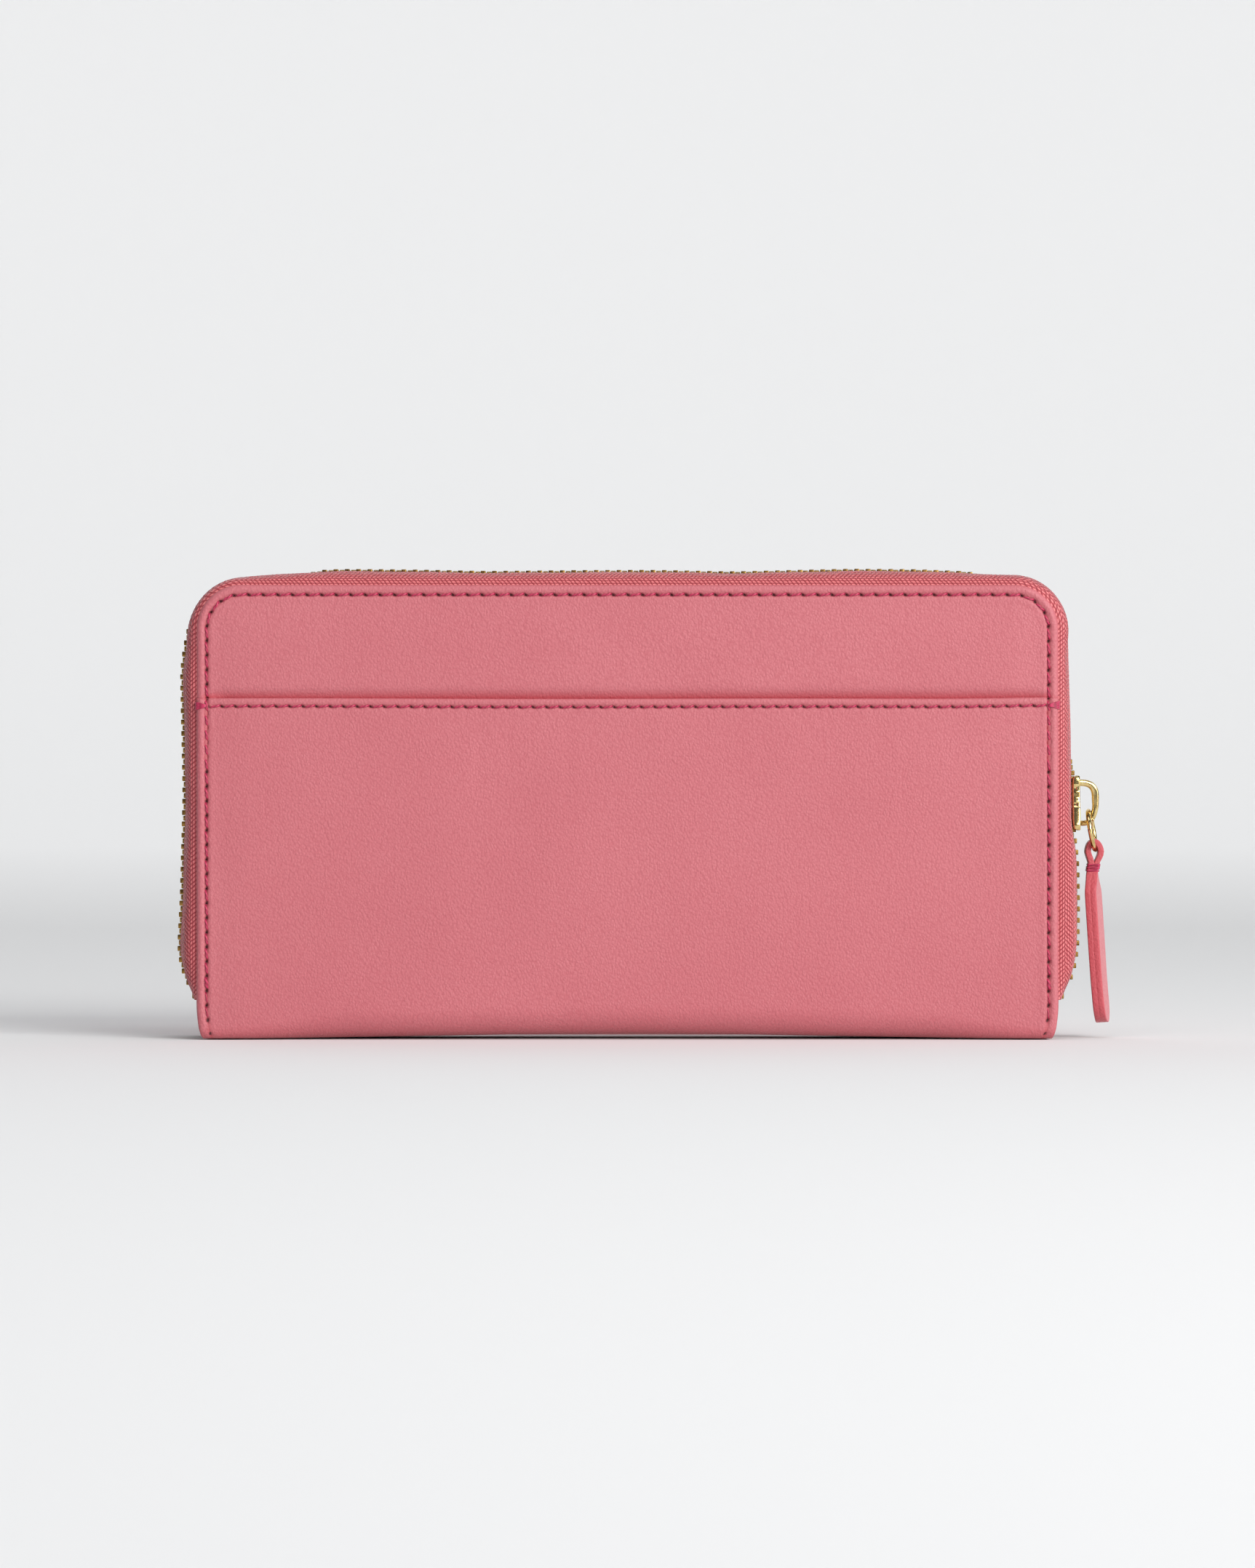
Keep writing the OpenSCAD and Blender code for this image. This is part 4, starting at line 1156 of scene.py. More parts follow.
# %% The two tapes
def woven_tape(name, across, depth, stations, lump, place, side):
    """A tape of even thickness over rows of [across, depth]; place puts its points on the wallet."""
    steps = np.hypot(np.diff(across, axis=1), np.diff(depth, axis=1))
    v = np.hstack([np.zeros((len(across), 1)), np.cumsum(steps, 1)])
    u = stations[:, None] * np.ones_like(v)
    grad_a, grad_d = np.gradient(across, axis=1), np.gradient(depth, axis=1)
    size = np.hypot(grad_a, grad_d)
    verts = [place(across - grad_d / size * shift, depth + grad_a / size * shift, side).reshape(-1, 3)
             for shift in (0.3 + lump(u, v), -0.3)]
    tape = mesh_object(name, np.vstack(verts), slab_faces(*u.shape), zip_tape)
    store(tape, "weave", np.tile(np.stack([u, v, 0 * u], -1).reshape(-1, 3), (2, 1)))
    return tape


def pulled_weave(u, v):
    """Yarn lumps on the main tape, which is also pulled into slow puckers."""
    return 0.2 * weave_height(u, v) + 0.06 * np.sin(u / 3.1) * np.sin(v / 1.3)


stations = np.linspace(-chain_run, chain_run, int(2 * chain_run / 0.3))
base, normal = edge_points(stations, 0)
across, depth = tape_profile(chain_offset(stations), 1.2 + chain_spread(stations), tape_sag(stations), 40)


def past_edge(across, depth, side):
    """Points at distances across from the cover's edge and depth from the middle plane."""
    x, z = (base[:, i, None] + normal[:, i, None] * across for i in (0, 1))
    return np.stack([x, side * depth, z], -1)


for cover, side in (("back", -1), ("front", 1)):
    tape = woven_tape(f"{cover}_woven_tape", across, depth, stations, pulled_weave, past_edge, side)
    hand_over(tape, f"{cover}_cover", f"{cover}_zip_tape")

# %% [markdown]
# ## Brass
# The zip's teeth are plain brass, a little dull and brown in places. The slider, ring and pulls
# are polished and plated, so they are paler and nearly mirrors. Both are one recipe: a metal
# whose colour wanders with a slow noise and whose gloss wanders with a fine one.

# %% Brass
def brass_material(name, tone, dark, roughness, scratch):
    material, shader = new_material(name, roughness, 1.0, coat_weight=0.15, coat_roughness=0.12)
    here = place_in_mm(material)
    wear, fine = noise(material, here, 0.9, 4), noise(material, here, 7, 2)
    feed(material, shader,
         base_color=blend_colors(material, between(material, wear, 0.4, 0.75), tone, dark),
         roughness=between(material, fine, 0.3, 0.7, roughness - 0.05, roughness + 0.1))
    add_bump(material, shader, fine, scratch)
    return material


zip_brass = brass_material("zip_brass", linear(188, 148, 80), linear(82, 56, 24), 0.28, 0.02)
polished_brass = brass_material("polished_brass", linear(236, 212, 150), linear(206, 172, 104), 0.12, 0.008)
print("brasses:", zip_brass.name, polished_brass.name)

# %% [markdown]
# ## Small metal shapes
# Stamped and cast parts are outlines with rounded edges. Each one is an outline raised to a block
# and bevelled, as in Blender's own edit mode. Blocks are kept as plain points and faces, so
# that they can be joined, turned and copied before they become a mesh.

# %% Small metal shapes
def rounded_shape(outline, low, high, bevel, segments=2):
    """Verts and faces of an outline [a, b] raised from low to high, with rounded edges."""
    work = bmesh.new()
    base = work.faces.new([work.verts.new((a, b, low)) for a, b in outline])
    raised = bmesh.ops.extrude_face_region(work, geom=[base])
    for item in raised["geom"]:
        if isinstance(item, bmesh.types.BMVert):
            item.co.z = high
    bmesh.ops.recalc_face_normals(work, faces=work.faces)
    bmesh.ops.bevel(work, geom=list(work.edges), offset=bevel, segments=segments, profile=0.6,
                    affect="EDGES", clamp_overlap=True)
    work.verts.index_update()
    verts = np.array([vert.co[:] for vert in work.verts])
    faces = [[vert.index for vert in face.verts] for face in work.faces]
    work.free()
    return verts, faces


def join_shapes(shapes):
    """One list of verts and faces from several."""
    verts, faces, base = [], [], 0
    for part_verts, part_faces in shapes:
        verts.append(part_verts)
        faces += [[base + i for i in face] for face in part_faces]
        base += len(part_verts)
    return np.vstack(verts), faces


print("a bevelled box has", len(rounded_shape([(0, 0), (0, 1), (1, 1), (1, 0)], 0, 1, 0.1)[1]), "faces")

# %% [markdown]
# ## Brass teeth
# Each tooth is a small stamped piece of brass. Two legs clamp the tape's beaded edge and a head
# hooks between the two teeth opposite. One tooth is made and then set out along the chain, so
# that all the teeth of a tape are one mesh. A larger block at each end stops the slider.

# %% Brass teeth
TOOTH_PITCH, STOP_LENGTH = 2.6, 2.0


def block(half_height, root, tip, length, bevel, segments=2, taper=1.0):
    """A bevelled block from root to tip, narrower at its tip by taper."""
    corners = [(-half_height, root), (-half_height * taper, tip), (half_height * taper, tip),
               (half_height, root)]
    return rounded_shape(corners, -length / 2, length / 2, bevel, segments)


def tooth_shape(length, height, root, edge, reach):
    """A tooth as [out, y, along]: legs from root to edge, then a head past the middle plane."""
    h = height / 2
    legs = block(h, root, edge - 0.3, length, 0.2, 3)
    neck = block(h * 0.88, edge, -reach * 0.4, length * 0.72, 0.1, taper=0.8 / 0.88)
    head = block(h * 1.02, 0.7, -reach, length, 0.2, taper=0.8 / 1.02)
    return join_shapes([legs, neck, head])


def set_out_teeth(name, shape, places, outward, backs, side):
    """Copies of one tooth at [x, z] places, facing outward, each backs away from the middle."""
    verts, faces = shape
    along = beside(outward)
    x, z = (places[:, i, None] + outward[:, i, None] * verts[:, 0] + along[:, i, None] * verts[:, 2]
            for i in (0, 1))
    y = side * (verts[:, 1] + backs[:, None])
    copies = [[i + first for i in face] for first in range(0, x.size, len(verts)) for face in faces]
    return mesh_object(name, np.stack([x, y, z], -1).reshape(-1, 3), copies, zip_brass)


def along_chain(name, shape, along, dip, side):
    """Teeth or stops at lengths along the main chain."""
    points, outward = edge_points(along, 0)
    places = points + outward * (chain_offset(along) - dip)[:, None]
    return set_out_teeth(name, shape, places, outward, chain_spread(along), side)


tooth = tooth_shape(1.15, 2.3, 3.0, 1.1, 0.8)
stop = block(1.1, 3.0, 0.25, STOP_LENGTH, 0.3, 3)
tooth_count = int((2 * chain_run + 6 - 2 * STOP_LENGTH) / TOOTH_PITCH) - 1
for cover, side, phase in (("back", -1, -0.25), ("front", 1, 0.25)):
    along = (np.arange(tooth_count) - (tooth_count - 1) / 2 + phase) * TOOTH_PITCH * 0.992
    along = along[np.abs(along) < chain_run - STOP_LENGTH]
    teeth = along_chain(f"{cover}_brass_teeth", tooth, along, corner_dip(along), side)
    hand_over(teeth, f"{cover}_cover", f"{cover}_zip_teeth")
    ends = np.array([-1, 1]) * (chain_run - STOP_LENGTH / 2)
    stops = along_chain(f"{cover}_brass_stops", stop, ends, 0, side)
    hand_over(stops, f"{cover}_cover", f"{cover}_zip_stops")

# %% [markdown]
# ## Slider
# The slider is cast brass, polished and plated. Two plates with flanged sides run along the chain
# and a post between them parts the teeth. The flanges bulge a little and carry two grooves. The
# plates are outlines with rounded edges, and everything is joined in one mesh. The coin pocket's
# small slider is the same shape with other sizes.

# %% Slider's shape
def grooved_flange(length, y_in, y_out, x_low, x_high, grooves):
    """A flange as rings of a rounded section, whose face dips at the grooves; runs along z."""
    rows, around = np.linspace(-length / 2, length / 2, 49), 24
    end = np.sqrt(np.clip(1 - (np.abs(rows) / (length / 2)) ** 8, 0, 1))[:, None]
    dip = sum(bell(rows - g, 0.42) for g in grooves)[:, None]
    turn = np.linspace(0, 2 * math.pi, around, endpoint=False)
    half_x = (x_high - x_low) / 2 * (0.25 + 0.75 * end)
    half_y = (y_out - y_in) / 2 * (0.35 + 0.65 * end) * (1 - 0.15 * dip)
    x = (x_low + x_high) / 2 + half_x * squared(np.cos(turn), 0.5)
    y = (y_in + y_out) / 2 - 0.2 * dip + half_y * squared(np.sin(turn), 0.5)
    verts = np.stack([x, y, rows[:, None] + 0 * x], -1).reshape(-1, 3)
    return verts, tube_faces(len(rows), around)


def plate_outline(top, mouth, end, narrow, wide):
    """Half widths top and mouth, at heights from the closed end down to the mouth, with cut corners."""
    right = [(top - 0.8, end), (top, end - 0.8), (top, narrow), (mouth, wide), (mouth - 0.5, -end)]
    left = [(-x, z) for x, z in right[::-1]]
    return left[-1:] + right + left[:-1]


def slider_shapes(length, half_chain, spread, tooth_h, shell, flange, grooves):
    """Slider parts about its own centre: x out of the chain, y across it, z to the closed end."""
    top, channel = half_chain + 0.2, tooth_h / 2 + 0.2
    narrow, wide, end = 0.1 * length, -0.4 * length, length / 2
    outline = plate_outline(top + flange, top + spread + flange, end, narrow, wide)
    parts = []
    for side in (-1, 1):
        low, high = sorted((side * channel, side * (channel + shell)))
        verts, faces = rounded_shape(outline, low, high, 0.34, 4)
        parts.append((verts[:, [2, 0, 1]], faces))
        for hand in (-1, 1):
            verts, faces = grooved_flange(length * 0.98, top - 0.1, top + flange + 0.12, 0.5,
                                          channel + shell, grooves)
            slant = np.interp(verts[:, 2], [-end, wide, narrow, end], [spread, spread, 0, 0])
            x, y, z = verts.T
            parts.append((np.stack([side * x, hand * (y + slant), z], 1), faces))
    post = [(0, narrow - 3), (0.9, wide), (0.45, -end + 0.3), (-0.45, -end + 0.3), (-0.9, wide)]
    verts, faces = rounded_shape(post, -channel - shell / 2, channel + shell / 2, 0.12)
    return parts + [(verts[:, [2, 0, 1]], faces)]


def metal_piece(name, shapes, body, node, place=lambda verts: verts):
    """Joins shapes in one polished brass piece and hands it over."""
    verts, faces = join_shapes(shapes)
    hand_over(mesh_object(name, place(verts), faces, polished_brass), body, node)


shapes = slider_shapes(slider_len, 3.0, 1.8, 2.2, 1.0, 0.8, grooves=(3.3, -0.4))
metal_piece("slider_plates", shapes, "slider", "slider_body", lambda v: v + [chain_x, 0, slider_mid_z])

# %% [markdown]
# ## Wire and strap
# Bent metal is a section swept along a path: flat and rounded for a strap, round for a wire. The
# path goes through a few corners, which are rounded the way a bending jig rounds them.

# %% Wire and strap
def swept_shape(path, half_wide, half_thick, side_axis, power=0.6, around=24, hoop=False):
    """A rounded section swept along a path; half_wide lies along side_axis."""
    ahead = np.roll(path, -1, 0) - np.roll(path, 1, 0) if hoop else np.gradient(path, axis=0)
    side = np.asarray(side_axis, float) * np.ones_like(path)
    out = unit(np.cross(unit(ahead), side))
    turn = np.linspace(0, 2 * math.pi, around, endpoint=False)
    wide = np.reshape(half_wide, (-1, 1)) * squared(np.cos(turn), power)
    thick = np.reshape(half_thick, (-1, 1)) * squared(np.sin(turn), power)
    verts = path[:, None] + side[:, None] * wide[..., None] + out[:, None] * thick[..., None]
    return verts.reshape(-1, 3), tube_faces(len(path), around, hoop)


def round_path(corners, radius, samples=10):
    """A path through corner points [x, z] with rounded corners, as [x, 0, z]."""
    corners = np.array(corners, float)
    points = [corners[0]]
    for before, here, after, r in zip(corners, corners[1:], corners[2:], radius):
        first, last = here + unit(before - here) * r, here + unit(after - here) * r
        for t in np.linspace(0, 1, samples):
            points.append((1 - t) ** 2 * first + 2 * t * (1 - t) * here + t * t * last)
    points.append(corners[-1])
    dense = [points[0]]
    for a, b in zip(points, points[1:]):
        pieces = max(1, int(np.linalg.norm(b - a) / 0.35))
        dense += [a + (b - a) * (i + 1) / pieces for i in range(pieces)]
    dense = np.array(dense)
    dense = dense[np.r_[True, np.linalg.norm(np.diff(dense, axis=0), axis=1) > 1e-4]]
    return np.insert(dense, 1, 0, axis=1)


print("a bend of 3 corners has", len(round_path([(0, 0), (9, 0), (9, 9)], [3])), "points")

# %% [markdown]
# ## Bridge
# The bridge is a strap of brass bent to a D over the slider's plate. It is thick at the top and
# thins towards its lower foot, and both feet flare where they meet the plate.

# %% Bridge
bridge_low, bridge_high = span("slider_bridge")
foot_x, bridge_x = slider_high[0] - 0.35, bridge_high[0]
top_leg, low_leg = bridge_high[2] - 0.75, bridge_low[2] + 0.7
corners = [(foot_x, top_leg), (bridge_x - 0.75, top_leg - 0.1), (bridge_x - 0.72, low_leg + 2.4),
           (bridge_x - 2.2, low_leg), (foot_x, low_leg)]
path = round_path(corners, (3.0, 2.0, 1.5))
share = np.linspace(0, 1, len(path))
thickness = 0.78 - 0.14 * smooth(share) + 0.1 * bell(share - 0.3, 0.15)
flare = 1.1 + 0.35 * bell(share, 0.08) + 0.35 * bell(share - 1, 0.08)
metal_piece("slider_loop", [swept_shape(path, flare, thickness, (0, 1, 0), 0.55)], "slider", "slider_bridge")

# %% [markdown]
# ## Ring
# The ring hangs in the bridge and leans away from the wallet. It runs between the two joints that
# it turns on: the top one in the bridge and the lower one in the pull's fold. It is turned a
# little about its own length, so that it doesn't look like a flat line.

# %% Ring
def joint_place(name):
    """Where a joint turns, in millimetres."""
    joint = next(j for j in frame["record"]["behaviour"]["joints"] if j["name"] == name)
    return np.array(joint["pos_m"]) / MM


ring_top, ring_foot = joint_place("ring_swing"), joint_place("tab_swing")
ring_r, ring_wire = np.linalg.norm(ring_foot - ring_top) / 2, 0.55
ring_turn = math.radians(9)
hang = unit(ring_foot - ring_top)
ring_side = np.array([0, math.cos(ring_turn), 0]) + np.array([-hang[2], 0, hang[0]]) * math.sin(ring_turn)
angle = np.linspace(0, 2 * math.pi, 72, endpoint=False)[:, None]
path = (ring_top + ring_foot) / 2 + ring_r * (np.cos(angle) * hang + np.sin(angle) * ring_side)
ring = swept_shape(path, ring_wire, ring_wire, np.cross(hang, ring_side), 1.0, 16, hoop=True)
metal_piece("jump_ring", [ring], "pull_ring", "pull_ring")

# %% [markdown]
# ## Pull tab
# The pull is one strip of leather folded round the ring and sewn to itself with a bar tack. It is
# narrow in the ring, widens below it and ends round. A line is drawn down one side, round the wire
# and up the other, and a flat section is swept along it. The tab hangs with a slight twist, which
# shows a little of its outer face.

# %% Pull tab's shape
tab_len, tab_half, neck_half, ply = 39.4, 5.0, 2.1, 1.66
bore = ring_wire + 0.95
tab_lean, tab_twist = math.radians(3.7), math.radians(-12)
tab_axis = np.array([math.sin(tab_lean), 0, -math.cos(tab_lean)])
tab_out = np.array([-tab_axis[2], 0, tab_axis[0]])


def tab_half_width(down):
    """Half width of the strip at a distance below the ring's wire."""
    shoulder = neck_half + (tab_half - neck_half) * smooth((down - 2.6) / 7)
    slack = 0.25 * np.sin(down / 9) * (down > 8)
    tip = np.clip((tab_len - down) / 5.2, 0, 1)
    return (shoulder + slack) * np.sqrt(np.clip(1 - (1 - tip) ** 2.4, 0.012, 1))


def tab_strip():
    """Centre line of the strip, bent double, as [down, out], from tip to tip."""
    down = np.r_[np.linspace(tab_len, tab_len - 5.4, 26), np.linspace(tab_len - 5.8, 1.2, 66)]
    turn = np.linspace(-QUARTER, QUARTER, 17)[1:-1]
    closed_gap = 0.34 * ply
    gap = closed_gap + (bore - closed_gap) * smooth(1 - (down - 0.2) / 3.4)
    fold = pairs(0.9 - (bore + 1.3) * np.cos(turn), -(bore + 0.02) * np.sin(turn))
    return np.vstack([pairs(down, gap), fold, pairs(down[::-1], -gap[::-1])])


def place_tab(down, out, wide):
    """Turns [down, out, wide] on the tab into places on the wallet, with the tab's twist."""
    twist = tab_twist * smooth((down - 1.5) / 9)
    bow = -0.3 - 0.8 * smooth((down - 1) / 5) + 0.2 * smooth((down - 28) / 12)
    a = out * np.cos(twist) - wide * np.sin(twist) + bow
    b = wide * np.cos(twist) + out * np.sin(twist)
    return ring_foot + down[..., None] * tab_axis + a[..., None] * tab_out + b[..., None] * [0, 1, 0]


print(f"the strip is {np.linalg.norm(np.diff(tab_strip(), axis=0), axis=1).sum():.0f} mm long")

# %% [markdown]
# ## Sweeping the strip
# The section is a rounded rectangle, as wide as the strip and as thick as the leather. Leather
# thins in the fold and is pinched under the tack. The points of the cut edges are marked, and the
# material paints them a deeper pink.

# %% Sweeping the strip
strip = tab_strip()
square = beside(unit(np.gradient(strip, axis=0)))
turn = np.linspace(0, 2 * math.pi, 44, endpoint=False)
edge_round = squared(np.cos(turn), 0.22)
pinch = 1 - 0.14 * bell(strip[:, 0] - 4.0, 0.9)
half_ply = ply / 2 * np.where(strip[:, 0] < 3, 0.82, 1.0) * pinch
raised = half_ply[:, None] * squared(np.sin(turn), 0.28)
wide = tab_half_width(np.maximum(strip[:, 0], 0))[:, None] * edge_round
down, out = (strip[:, i, None] + square[:, i, None] * raised for i in (0, 1))
tab = mesh_object("pull_tab_strip", place_tab(down, out, wide).reshape(-1, 3),
                  tube_faces(len(strip), len(turn)), pull_leather)
store(tab, "painted_edge", np.tile(np.abs(edge_round) > 0.93, len(strip)))
hand_over(tab, "pull_tab", "pull_tab_leather")

# %% [markdown]
# ## Bar tack
# A few turns of the same thread are wound close together round the neck of the pull. They hold the
# fold closed on the ring.

# %% Bar tack
wraps = []
angle = np.linspace(0, 2 * math.pi, 33)
for i in range(7):
    height = 3.4 + 0.2 * i
    half = tab_half_width(np.array([height]))[0] + 0.12
    down = height + 0.25 * np.sin(angle + i * 2)
    wraps.append(place_tab(down, 1.38 * squared(np.sin(angle), 0.3), half * squared(np.cos(angle), 0.3)))
tack = thread_object("pull_tab_tack", wraps, np.full(len(wraps), 0.2), turns=6)
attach(tack, "pull_tab")
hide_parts("pull_tab_bar_tack")

# %% [markdown]
# ## Inside the wallet
# When the covers open, the inside shows: a smooth lining, three rows of card slots on each side,
# a bill pocket behind them, and a coin pocket with its own zip in the middle. The lining is a
# finely ribbed cloth with slubs, and the boards under it are plain brown card.

# %% Lining cloth
def lining_material(name, tone, deep, rib=0.55):
    material, shader = new_material(name, 0.6, specular_ior_level=0.35, sheen_weight=0.25,
                                    sheen_roughness=0.5)
    here = place_in_mm(material)
    split = add_node(material, "ShaderNodeSeparateXYZ", {0: here})
    along, down = (calc(material, "SINE", calc(material, "MULTIPLY", split.outputs[i], 2 * math.pi / rib))
                   for i in (0, 2))
    weave = calc(material, "MULTIPLY", calc(material, "MULTIPLY", along, down), 0.25)
    height = calc(material, "ADD", weave, noise(material, here, 0.5, 4))
    feed(material, shader, base_color=blend_colors(
        material, between(material, height, 0.2, 0.8), deep, tone))
    add_bump(material, shader, height, 0.05)
    return material


lining_fabric = lining_material("lining_fabric", linear(206, 150, 150), linear(186, 126, 128))
board_paper = lining_material("board", linear(176, 160, 138), linear(150, 134, 112), 0.9)
print("linings:", lining_fabric.name, board_paper.name)

# %% [markdown]
# ## A sheet of lining
# Each panel inside is a thin upright sheet. Its top is folded over, which thickens it just below
# the edge, and a line of stitching presses it in. The sheet sways a little, since cloth is never
# flat. Rows of points lie close together only where it bends.

# %% A sheet of lining
CLOTH_STEP = 1.6


def cloth_rows(low, high, seams):
    """Heights of the rows of points: even steps, with more at each seam and at the top."""
    rows = list(np.linspace(low, high, int((high - low) / CLOTH_STEP) + 1))
    rows += [seam + near for seam in seams for near in (-0.5, -0.2, 0, 0.2, 0.5)]
    rows += [high - near for near in (0.15, 0.35, 0.6, 0.9, 1.3)]
    return np.array(sorted({round(row, 3) for row in rows if low <= row <= high}))


def cloth_sheet(name, low, high, face_y, thick, material, fold=0.35, corner=0.0, seams=(), wave=0.08):
    """An upright sheet with its outer face at face_y; its top is turned over and seams press it in."""
    columns = np.linspace(low[0], high[0], int((high[0] - low[0]) / CLOTH_STEP) + 1)
    x, z = np.meshgrid(columns, cloth_rows(low[1], high[1], seams))
    if corner:
        past = np.maximum(z - (high[1] - corner), 0)
        room = corner - np.sqrt(np.maximum(corner ** 2 - past ** 2, 0))
        x = np.clip(x, low[0] + room, high[0] - room)
    press = sum((bell(z - seam, 0.35) for seam in seams), np.zeros_like(z))
    thin = 0.4 * np.clip(1 - (high[1] - z) / 0.5, 0, 1) ** 2
    puff = thick * (fold * bell(high[1] - 0.9 - z, 0.8) - 0.3 * press - thin)
    sway = wave * np.sin(x / 13 + z / 17)
    side = np.sign(face_y)
    outer = np.stack([x, face_y - side * (puff + sway), z], -1)
    inner = np.stack([x, face_y + side * (thick - sway + thick * thin), z], -1)
    return mesh_object(name, np.vstack([outer, inner]).reshape(-1, 3), slab_faces(*x.shape), material)


print("sheets have points every", CLOTH_STEP, "mm")

# %% [markdown]
# ## Card slots, bill pockets and linings
# On each cover, from the outside in, lie a board, its lining, the bill pocket's panel and three
# leather strips, each lower than the one behind it. Every sheet fills its CAD node's box and
# looks towards the middle of the wallet.

# %% Card slots, bill pockets and linings
CLOTHS = {"lining_fabric": lining_fabric, "board": board_paper, "gusset_leather": gusset_leather}


def node_sheet(node, body, slot, **shape):
    """A cloth sheet in a CAD node's box, whose face looks towards the middle of the wallet."""
    low, high = span(node)
    face_y = low[1] if low[1] > 0 else high[1]
    thick = min(high[1] - low[1], 0.55)
    piece = cloth_sheet(node + "_cloth", low[[0, 2]], high[[0, 2]], face_y, thick, CLOTHS[slot], **shape)
    hand_over(piece, body, node)


for cover in ("back", "front"):
    body = f"{cover}_cover"
    node_sheet(f"{cover}_lining", body, "lining_fabric", corner=corner_r - 1, wave=0, fold=0)
    node_sheet(f"{cover}_board", body, "board", corner=corner_r - 5, wave=0, fold=0)
    sewn = [(f"{cover}_bill_panel", "lining_fabric", 2.2, 0.03)]
    sewn += [(f"{cover}_card_strip_{number}", "gusset_leather", 1.8, 0.04) for number in (1, 2, 3)]
    for node, slot, seam_down, wave in sewn:
        node_sheet(node, body, slot, seams=(span(node)[1][2] - seam_down,), wave=wave)

# %% [markdown]
# ## Coin pocket
# The coin pocket is a flat pouch down the middle, with rounded lower edges and a zip along its
# top. Its section is drawn once as a line of [y, z], given its thickness, and run along the
# wallet. The ends are drawn in and closed by the same cloth. The strip of card along the inside of
# the spine is covered in the same cloth too.

# %% Coin pouch
pouch_low, pouch_high = span("coin_pocket_pouch")
pouch_wall = 0.55
half = pouch_high[1] - 0.3
turn = np.linspace(0, math.pi, 15)
bottom = pairs(half * np.cos(turn), pouch_low[2] + 2.9 - 2.6 * np.sin(turn))
rise = np.linspace(pouch_low[2] + 3.6, pouch_high[2], 32)
belly = 0.12 * np.sin(rise / 6)
line = np.vstack([pairs(half + belly, rise)[::-1], bottom, pairs(-half + belly, rise)])
square = beside(unit(np.gradient(line, axis=0))) * pouch_wall / 2
section = np.vstack([line + square, (line - square)[::-1]])
columns = np.linspace(pouch_low[0], pouch_high[0], int((pouch_high[0] - pouch_low[0]) / 2) + 1)
to_end = np.clip(1 - (pouch_high[0] - np.abs(columns)) / 1.5, 0, 1)
drawn_in = 0.6 + 0.4 * np.sqrt(np.clip(1 - to_end ** 2, 0.02, 1))
x, y = columns[:, None] * np.ones(len(section)), drawn_in[:, None] * section[:, 0]
verts = np.stack([x, y, section[:, 1] * np.ones_like(x)], -1).reshape(-1, 3)
pouch = mesh_object("coin_pouch_cloth", verts, tube_faces(*x.shape), lining_fabric)
hand_over(pouch, "core", "coin_pocket_pouch")
for slot in frame["nodes"]["spine_board"].material_slots:
    slot.material = lining_fabric
print(f"pouch {2 * half:.1f} mm thick, {pouch_high[2]:.0f} mm high")

# %% [markdown]
# ## Coin zip's tapes
# The coin pocket's zip is a finer one of the same kind. Its two tapes are sewn outside the pouch's
# top, lean in over it and meet at the chain. On the right of its slider the zip is open, so tapes
# and teeth stand apart there.

# %% Coin zip's tapes
coin_low, coin_high = span("coin_slider_body")
coin_x, coin_z = (coin_low[[0, 2]] + coin_high[[0, 2]]) / 2
coin_len = coin_high[0] - coin_low[0]
BENDS = [0, 0.3, 0.62, 1]


def coin_spread(x):
    """How far each coin chain stands back from the middle, at x: closed on the left of the slider."""
    return 1.1 * np.clip((x - coin_x + 0.1 * coin_len) / (0.5 * coin_len), 0, 1)


def rounded_line(values, times):
    """A line of numbers with its corners smoothed away and its ends kept."""
    for _ in range(times):
        values[1:-1] = (values[:-2] + values[1:-1] * 2 + values[2:]) / 4
    return values


def fine_weave(u, v):
    return 0.1 * weave_height(u, v)


def above_pouch(height, depth, side):
    """Points of a coin tape, moved apart where the zip is open."""
    return np.stack([columns[:, None] * np.ones_like(height), side * (depth + apart), height], -1)


share = np.linspace(0, 1, 40)
for name, side in (("back", -1), ("front", 1)):
    tape_low, tape_high = span(f"coin_zip_tape_{name}")
    columns = np.linspace(tape_low[0], tape_high[0], 460)
    reach = max(abs(tape_low[1]), abs(tape_high[1]))
    sewn_y, top_of_pouch = pouch_high[1] + 0.3, pouch_high[2] + 0.6
    depth = rounded_line(np.interp(share, BENDS, [sewn_y, sewn_y, reach - 0.4, 1.0]), 5)
    height = rounded_line(np.interp(share, BENDS, [tape_low[2], top_of_pouch, coin_z - 0.4, coin_z]), 5)
    apart = coin_spread(columns)[:, None] * smooth((share - 0.6) / 0.4)
    rows = (len(columns), 1)
    tape = woven_tape(f"coin_woven_tape_{name}", np.tile(height, rows), np.tile(depth, rows), columns,
                      fine_weave, above_pouch, side)
    hand_over(tape, "core", f"coin_zip_tape_{name}")

# %% [markdown]
# ## Coin zip's teeth
# The teeth are the main zip's, made smaller and set out along a straight line, facing up. Those of
# one tape stand half a pitch along from the other's, so that they mesh.

# %% Coin zip's teeth
COIN_PITCH = 2.2
coin_tooth = tooth_shape(0.8, 1.7, 2.2, 0.9, 0.6)
for name, side in (("back", -1), ("front", 1)):
    low, high = span(f"coin_zip_teeth_{name}")
    x = np.arange(low[0] + 0.4, high[0], COIN_PITCH)
    up = np.tile([0.0, 1.0], (len(x), 1))
    teeth = set_out_teeth(f"coin_brass_teeth_{name}", coin_tooth, pairs(x, coin_z), up, coin_spread(x), side)
    hand_over(teeth, "core", f"coin_zip_teeth_{name}")
for slot in frame["nodes"]["coin_zip_stops"].material_slots:
    slot.material = zip_brass

# %% [markdown]
# ## Coin slider
# The small slider is made upright by the same function as the large one, then laid on its back
# with its closed end to the left. Its bridge is a small staple of brass strap.

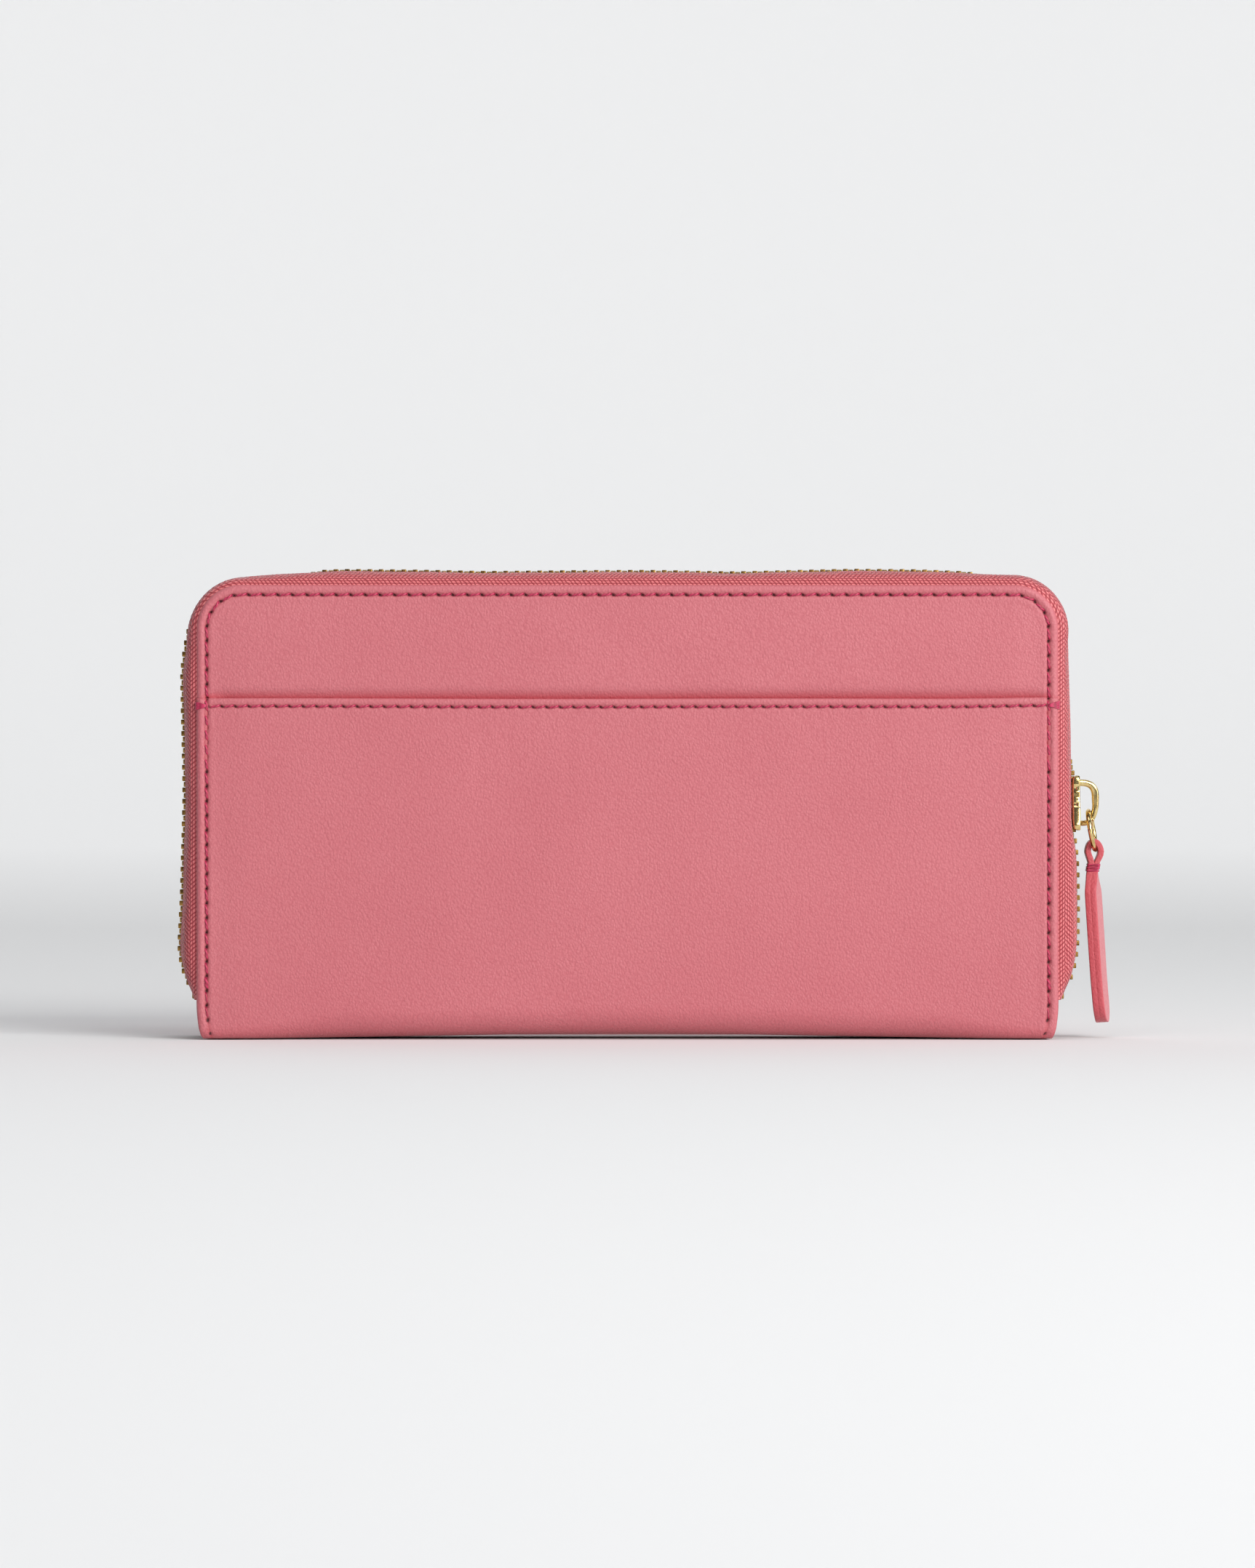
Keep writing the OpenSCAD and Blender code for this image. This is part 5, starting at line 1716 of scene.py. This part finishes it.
# %% Coin slider
def on_coin_chain(verts):
    """Turns a slider made upright into its place on the flat coin chain."""
    return np.stack([coin_x - verts[:, 2], verts[:, 1], coin_z + verts[:, 0]], 1)


shapes = slider_shapes(coin_len, 2.2, 1.1, 1.7, 0.8, 0.6, grooves=(1.6,))
metal_piece("coin_slider_plates", shapes, "coin_slider", "coin_slider_body", on_coin_chain)
low, high = span("coin_slider_bridge")
foot, strap = coin_high[2] - 0.3, 0.5
corners = [(low[0] + strap, foot), (low[0] + strap, high[2] - strap), (high[0] - strap, high[2] - strap),
           (high[0] - strap, foot)]
staple = swept_shape(round_path(corners, (1.6, 1.6)), 0.8, strap, (0, 1, 0))
metal_piece("coin_slider_loop", [staple], "coin_slider", "coin_slider_bridge")

# %% [markdown]
# ## Coin zip's pull
# The pull is a flat brass drop: a wire rim that is narrow in the bridge and widens towards the
# fingers, with a thin web that fills it. It lies flat when the pocket is closed and lifts about
# its narrow end.

# %% Coin zip's pull
low, high = span("coin_pull_tab")
pivot_x = joint_place("coin_pull_lift")[0]
ends = np.array([high[0] - pivot_x, pivot_x - low[0]])
towards = 1 if ends[0] > ends[1] else -1
half_len, behind = ends.sum() / 2, ends.min()
rim, web_half = 0.5, 0.22
turn = np.linspace(0, 2 * math.pi, 64, endpoint=False)
a = half_len - behind + (half_len - rim) * np.cos(turn)
taper = 0.78 + 0.22 * smooth((a + 1) / 8)
b = ((high[1] - low[1]) / 2 - rim) * taper * squared(np.sin(turn), 0.6)


def lay_pull(verts):
    """Puts a pull made about its pivot, flat, at its place on the wallet."""
    return verts * [towards, 1, 1] + [pivot_x, 0, (low[2] + high[2]) / 2]


rim_path = np.stack([a, b, 0 * a], 1)
rim_verts, rim_faces = swept_shape(rim_path, rim, rim, (0, 0, 1), 0.7, 14, hoop=True)
web = rounded_shape([(x, y) for x, y in zip(a, 0.92 * b) if x > 3.2], -web_half, web_half, 0.05, 1)
metal_piece("coin_pull", [(rim_verts, rim_faces), web], "coin_pull", "coin_pull_tab", lay_pull)

# %% [markdown]
# ## Gussets
# A gusset is a strip of thin leather at each end of each bay, folded inwards like a bellows. One
# edge is sewn to the cover's lining and the other to the coin pocket, so it opens into a fan when
# the cover swings out. Seen from above it is a V, and its fold runs out towards the spine.

# %% Gussets
def gusset_plan(x_out, y_out, fold_x):
    """The gusset seen from above, from the lining round the fold to the pouch, as [x, y]."""
    pouch_end, y_in = pouch_high[0], 3.2
    plan = np.array([[x_out, y_out], [x_out - 2.5, y_out], [x_out - 5.5, y_out - 1.1],
                     [fold_x + 3, 5.9], [fold_x, 5.2], [fold_x + 3, 4.5],
                     [pouch_end - 3, y_in + 0.55], [pouch_end + 1.2, y_in + 0.2], [pouch_end + 1.4, 1.2]])
    walked = np.r_[0, np.cumsum(np.linalg.norm(np.diff(plan, axis=0), axis=1))]
    even = np.linspace(0, walked[-1], 90)
    return rounded_line(np.stack([np.interp(even, walked, plan[:, i]) for i in (0, 1)], 1), 6)


def gusset_side(plan, heights, x_out):
    """Rows of points up one face of the gusset; low down, the fold comes out towards the end."""
    x, y = plan.T
    deep = smooth((heights - heights[0] - 1.5) / 26)[:, None]
    folded_in = np.minimum(x - (x_out - 6), 0) * (1 - deep)
    return np.stack(np.broadcast_arrays(x - 0.75 * folded_in, y, heights[:, None]), -1).reshape(-1, 3)


for cover, side in (("back", -1), ("front", 1)):
    for name, hand in (("left", -1), ("right", 1)):
        low, high = span(f"gusset_{cover}_{name}")
        x_near, x_out = sorted(np.abs([low[0], high[0]]))
        heights = np.linspace(low[2] - 1.5, high[2] + 4, 48)
        plan = gusset_plan(x_out, np.abs([low[1], high[1]]).max() - 0.2, x_near + 1.2)
        square = beside(unit(np.gradient(plan, axis=0))) * 0.2
        verts = np.vstack([gusset_side(face, heights, x_out) for face in (plan + square, plan - square)])
        gusset = mesh_object(f"gusset_fold_{cover}_{name}", verts * [hand, side, 1],
                             slab_faces(len(heights), len(plan)), gusset_leather)
        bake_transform(gusset)
        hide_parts(f"gusset_{cover}_{name}")
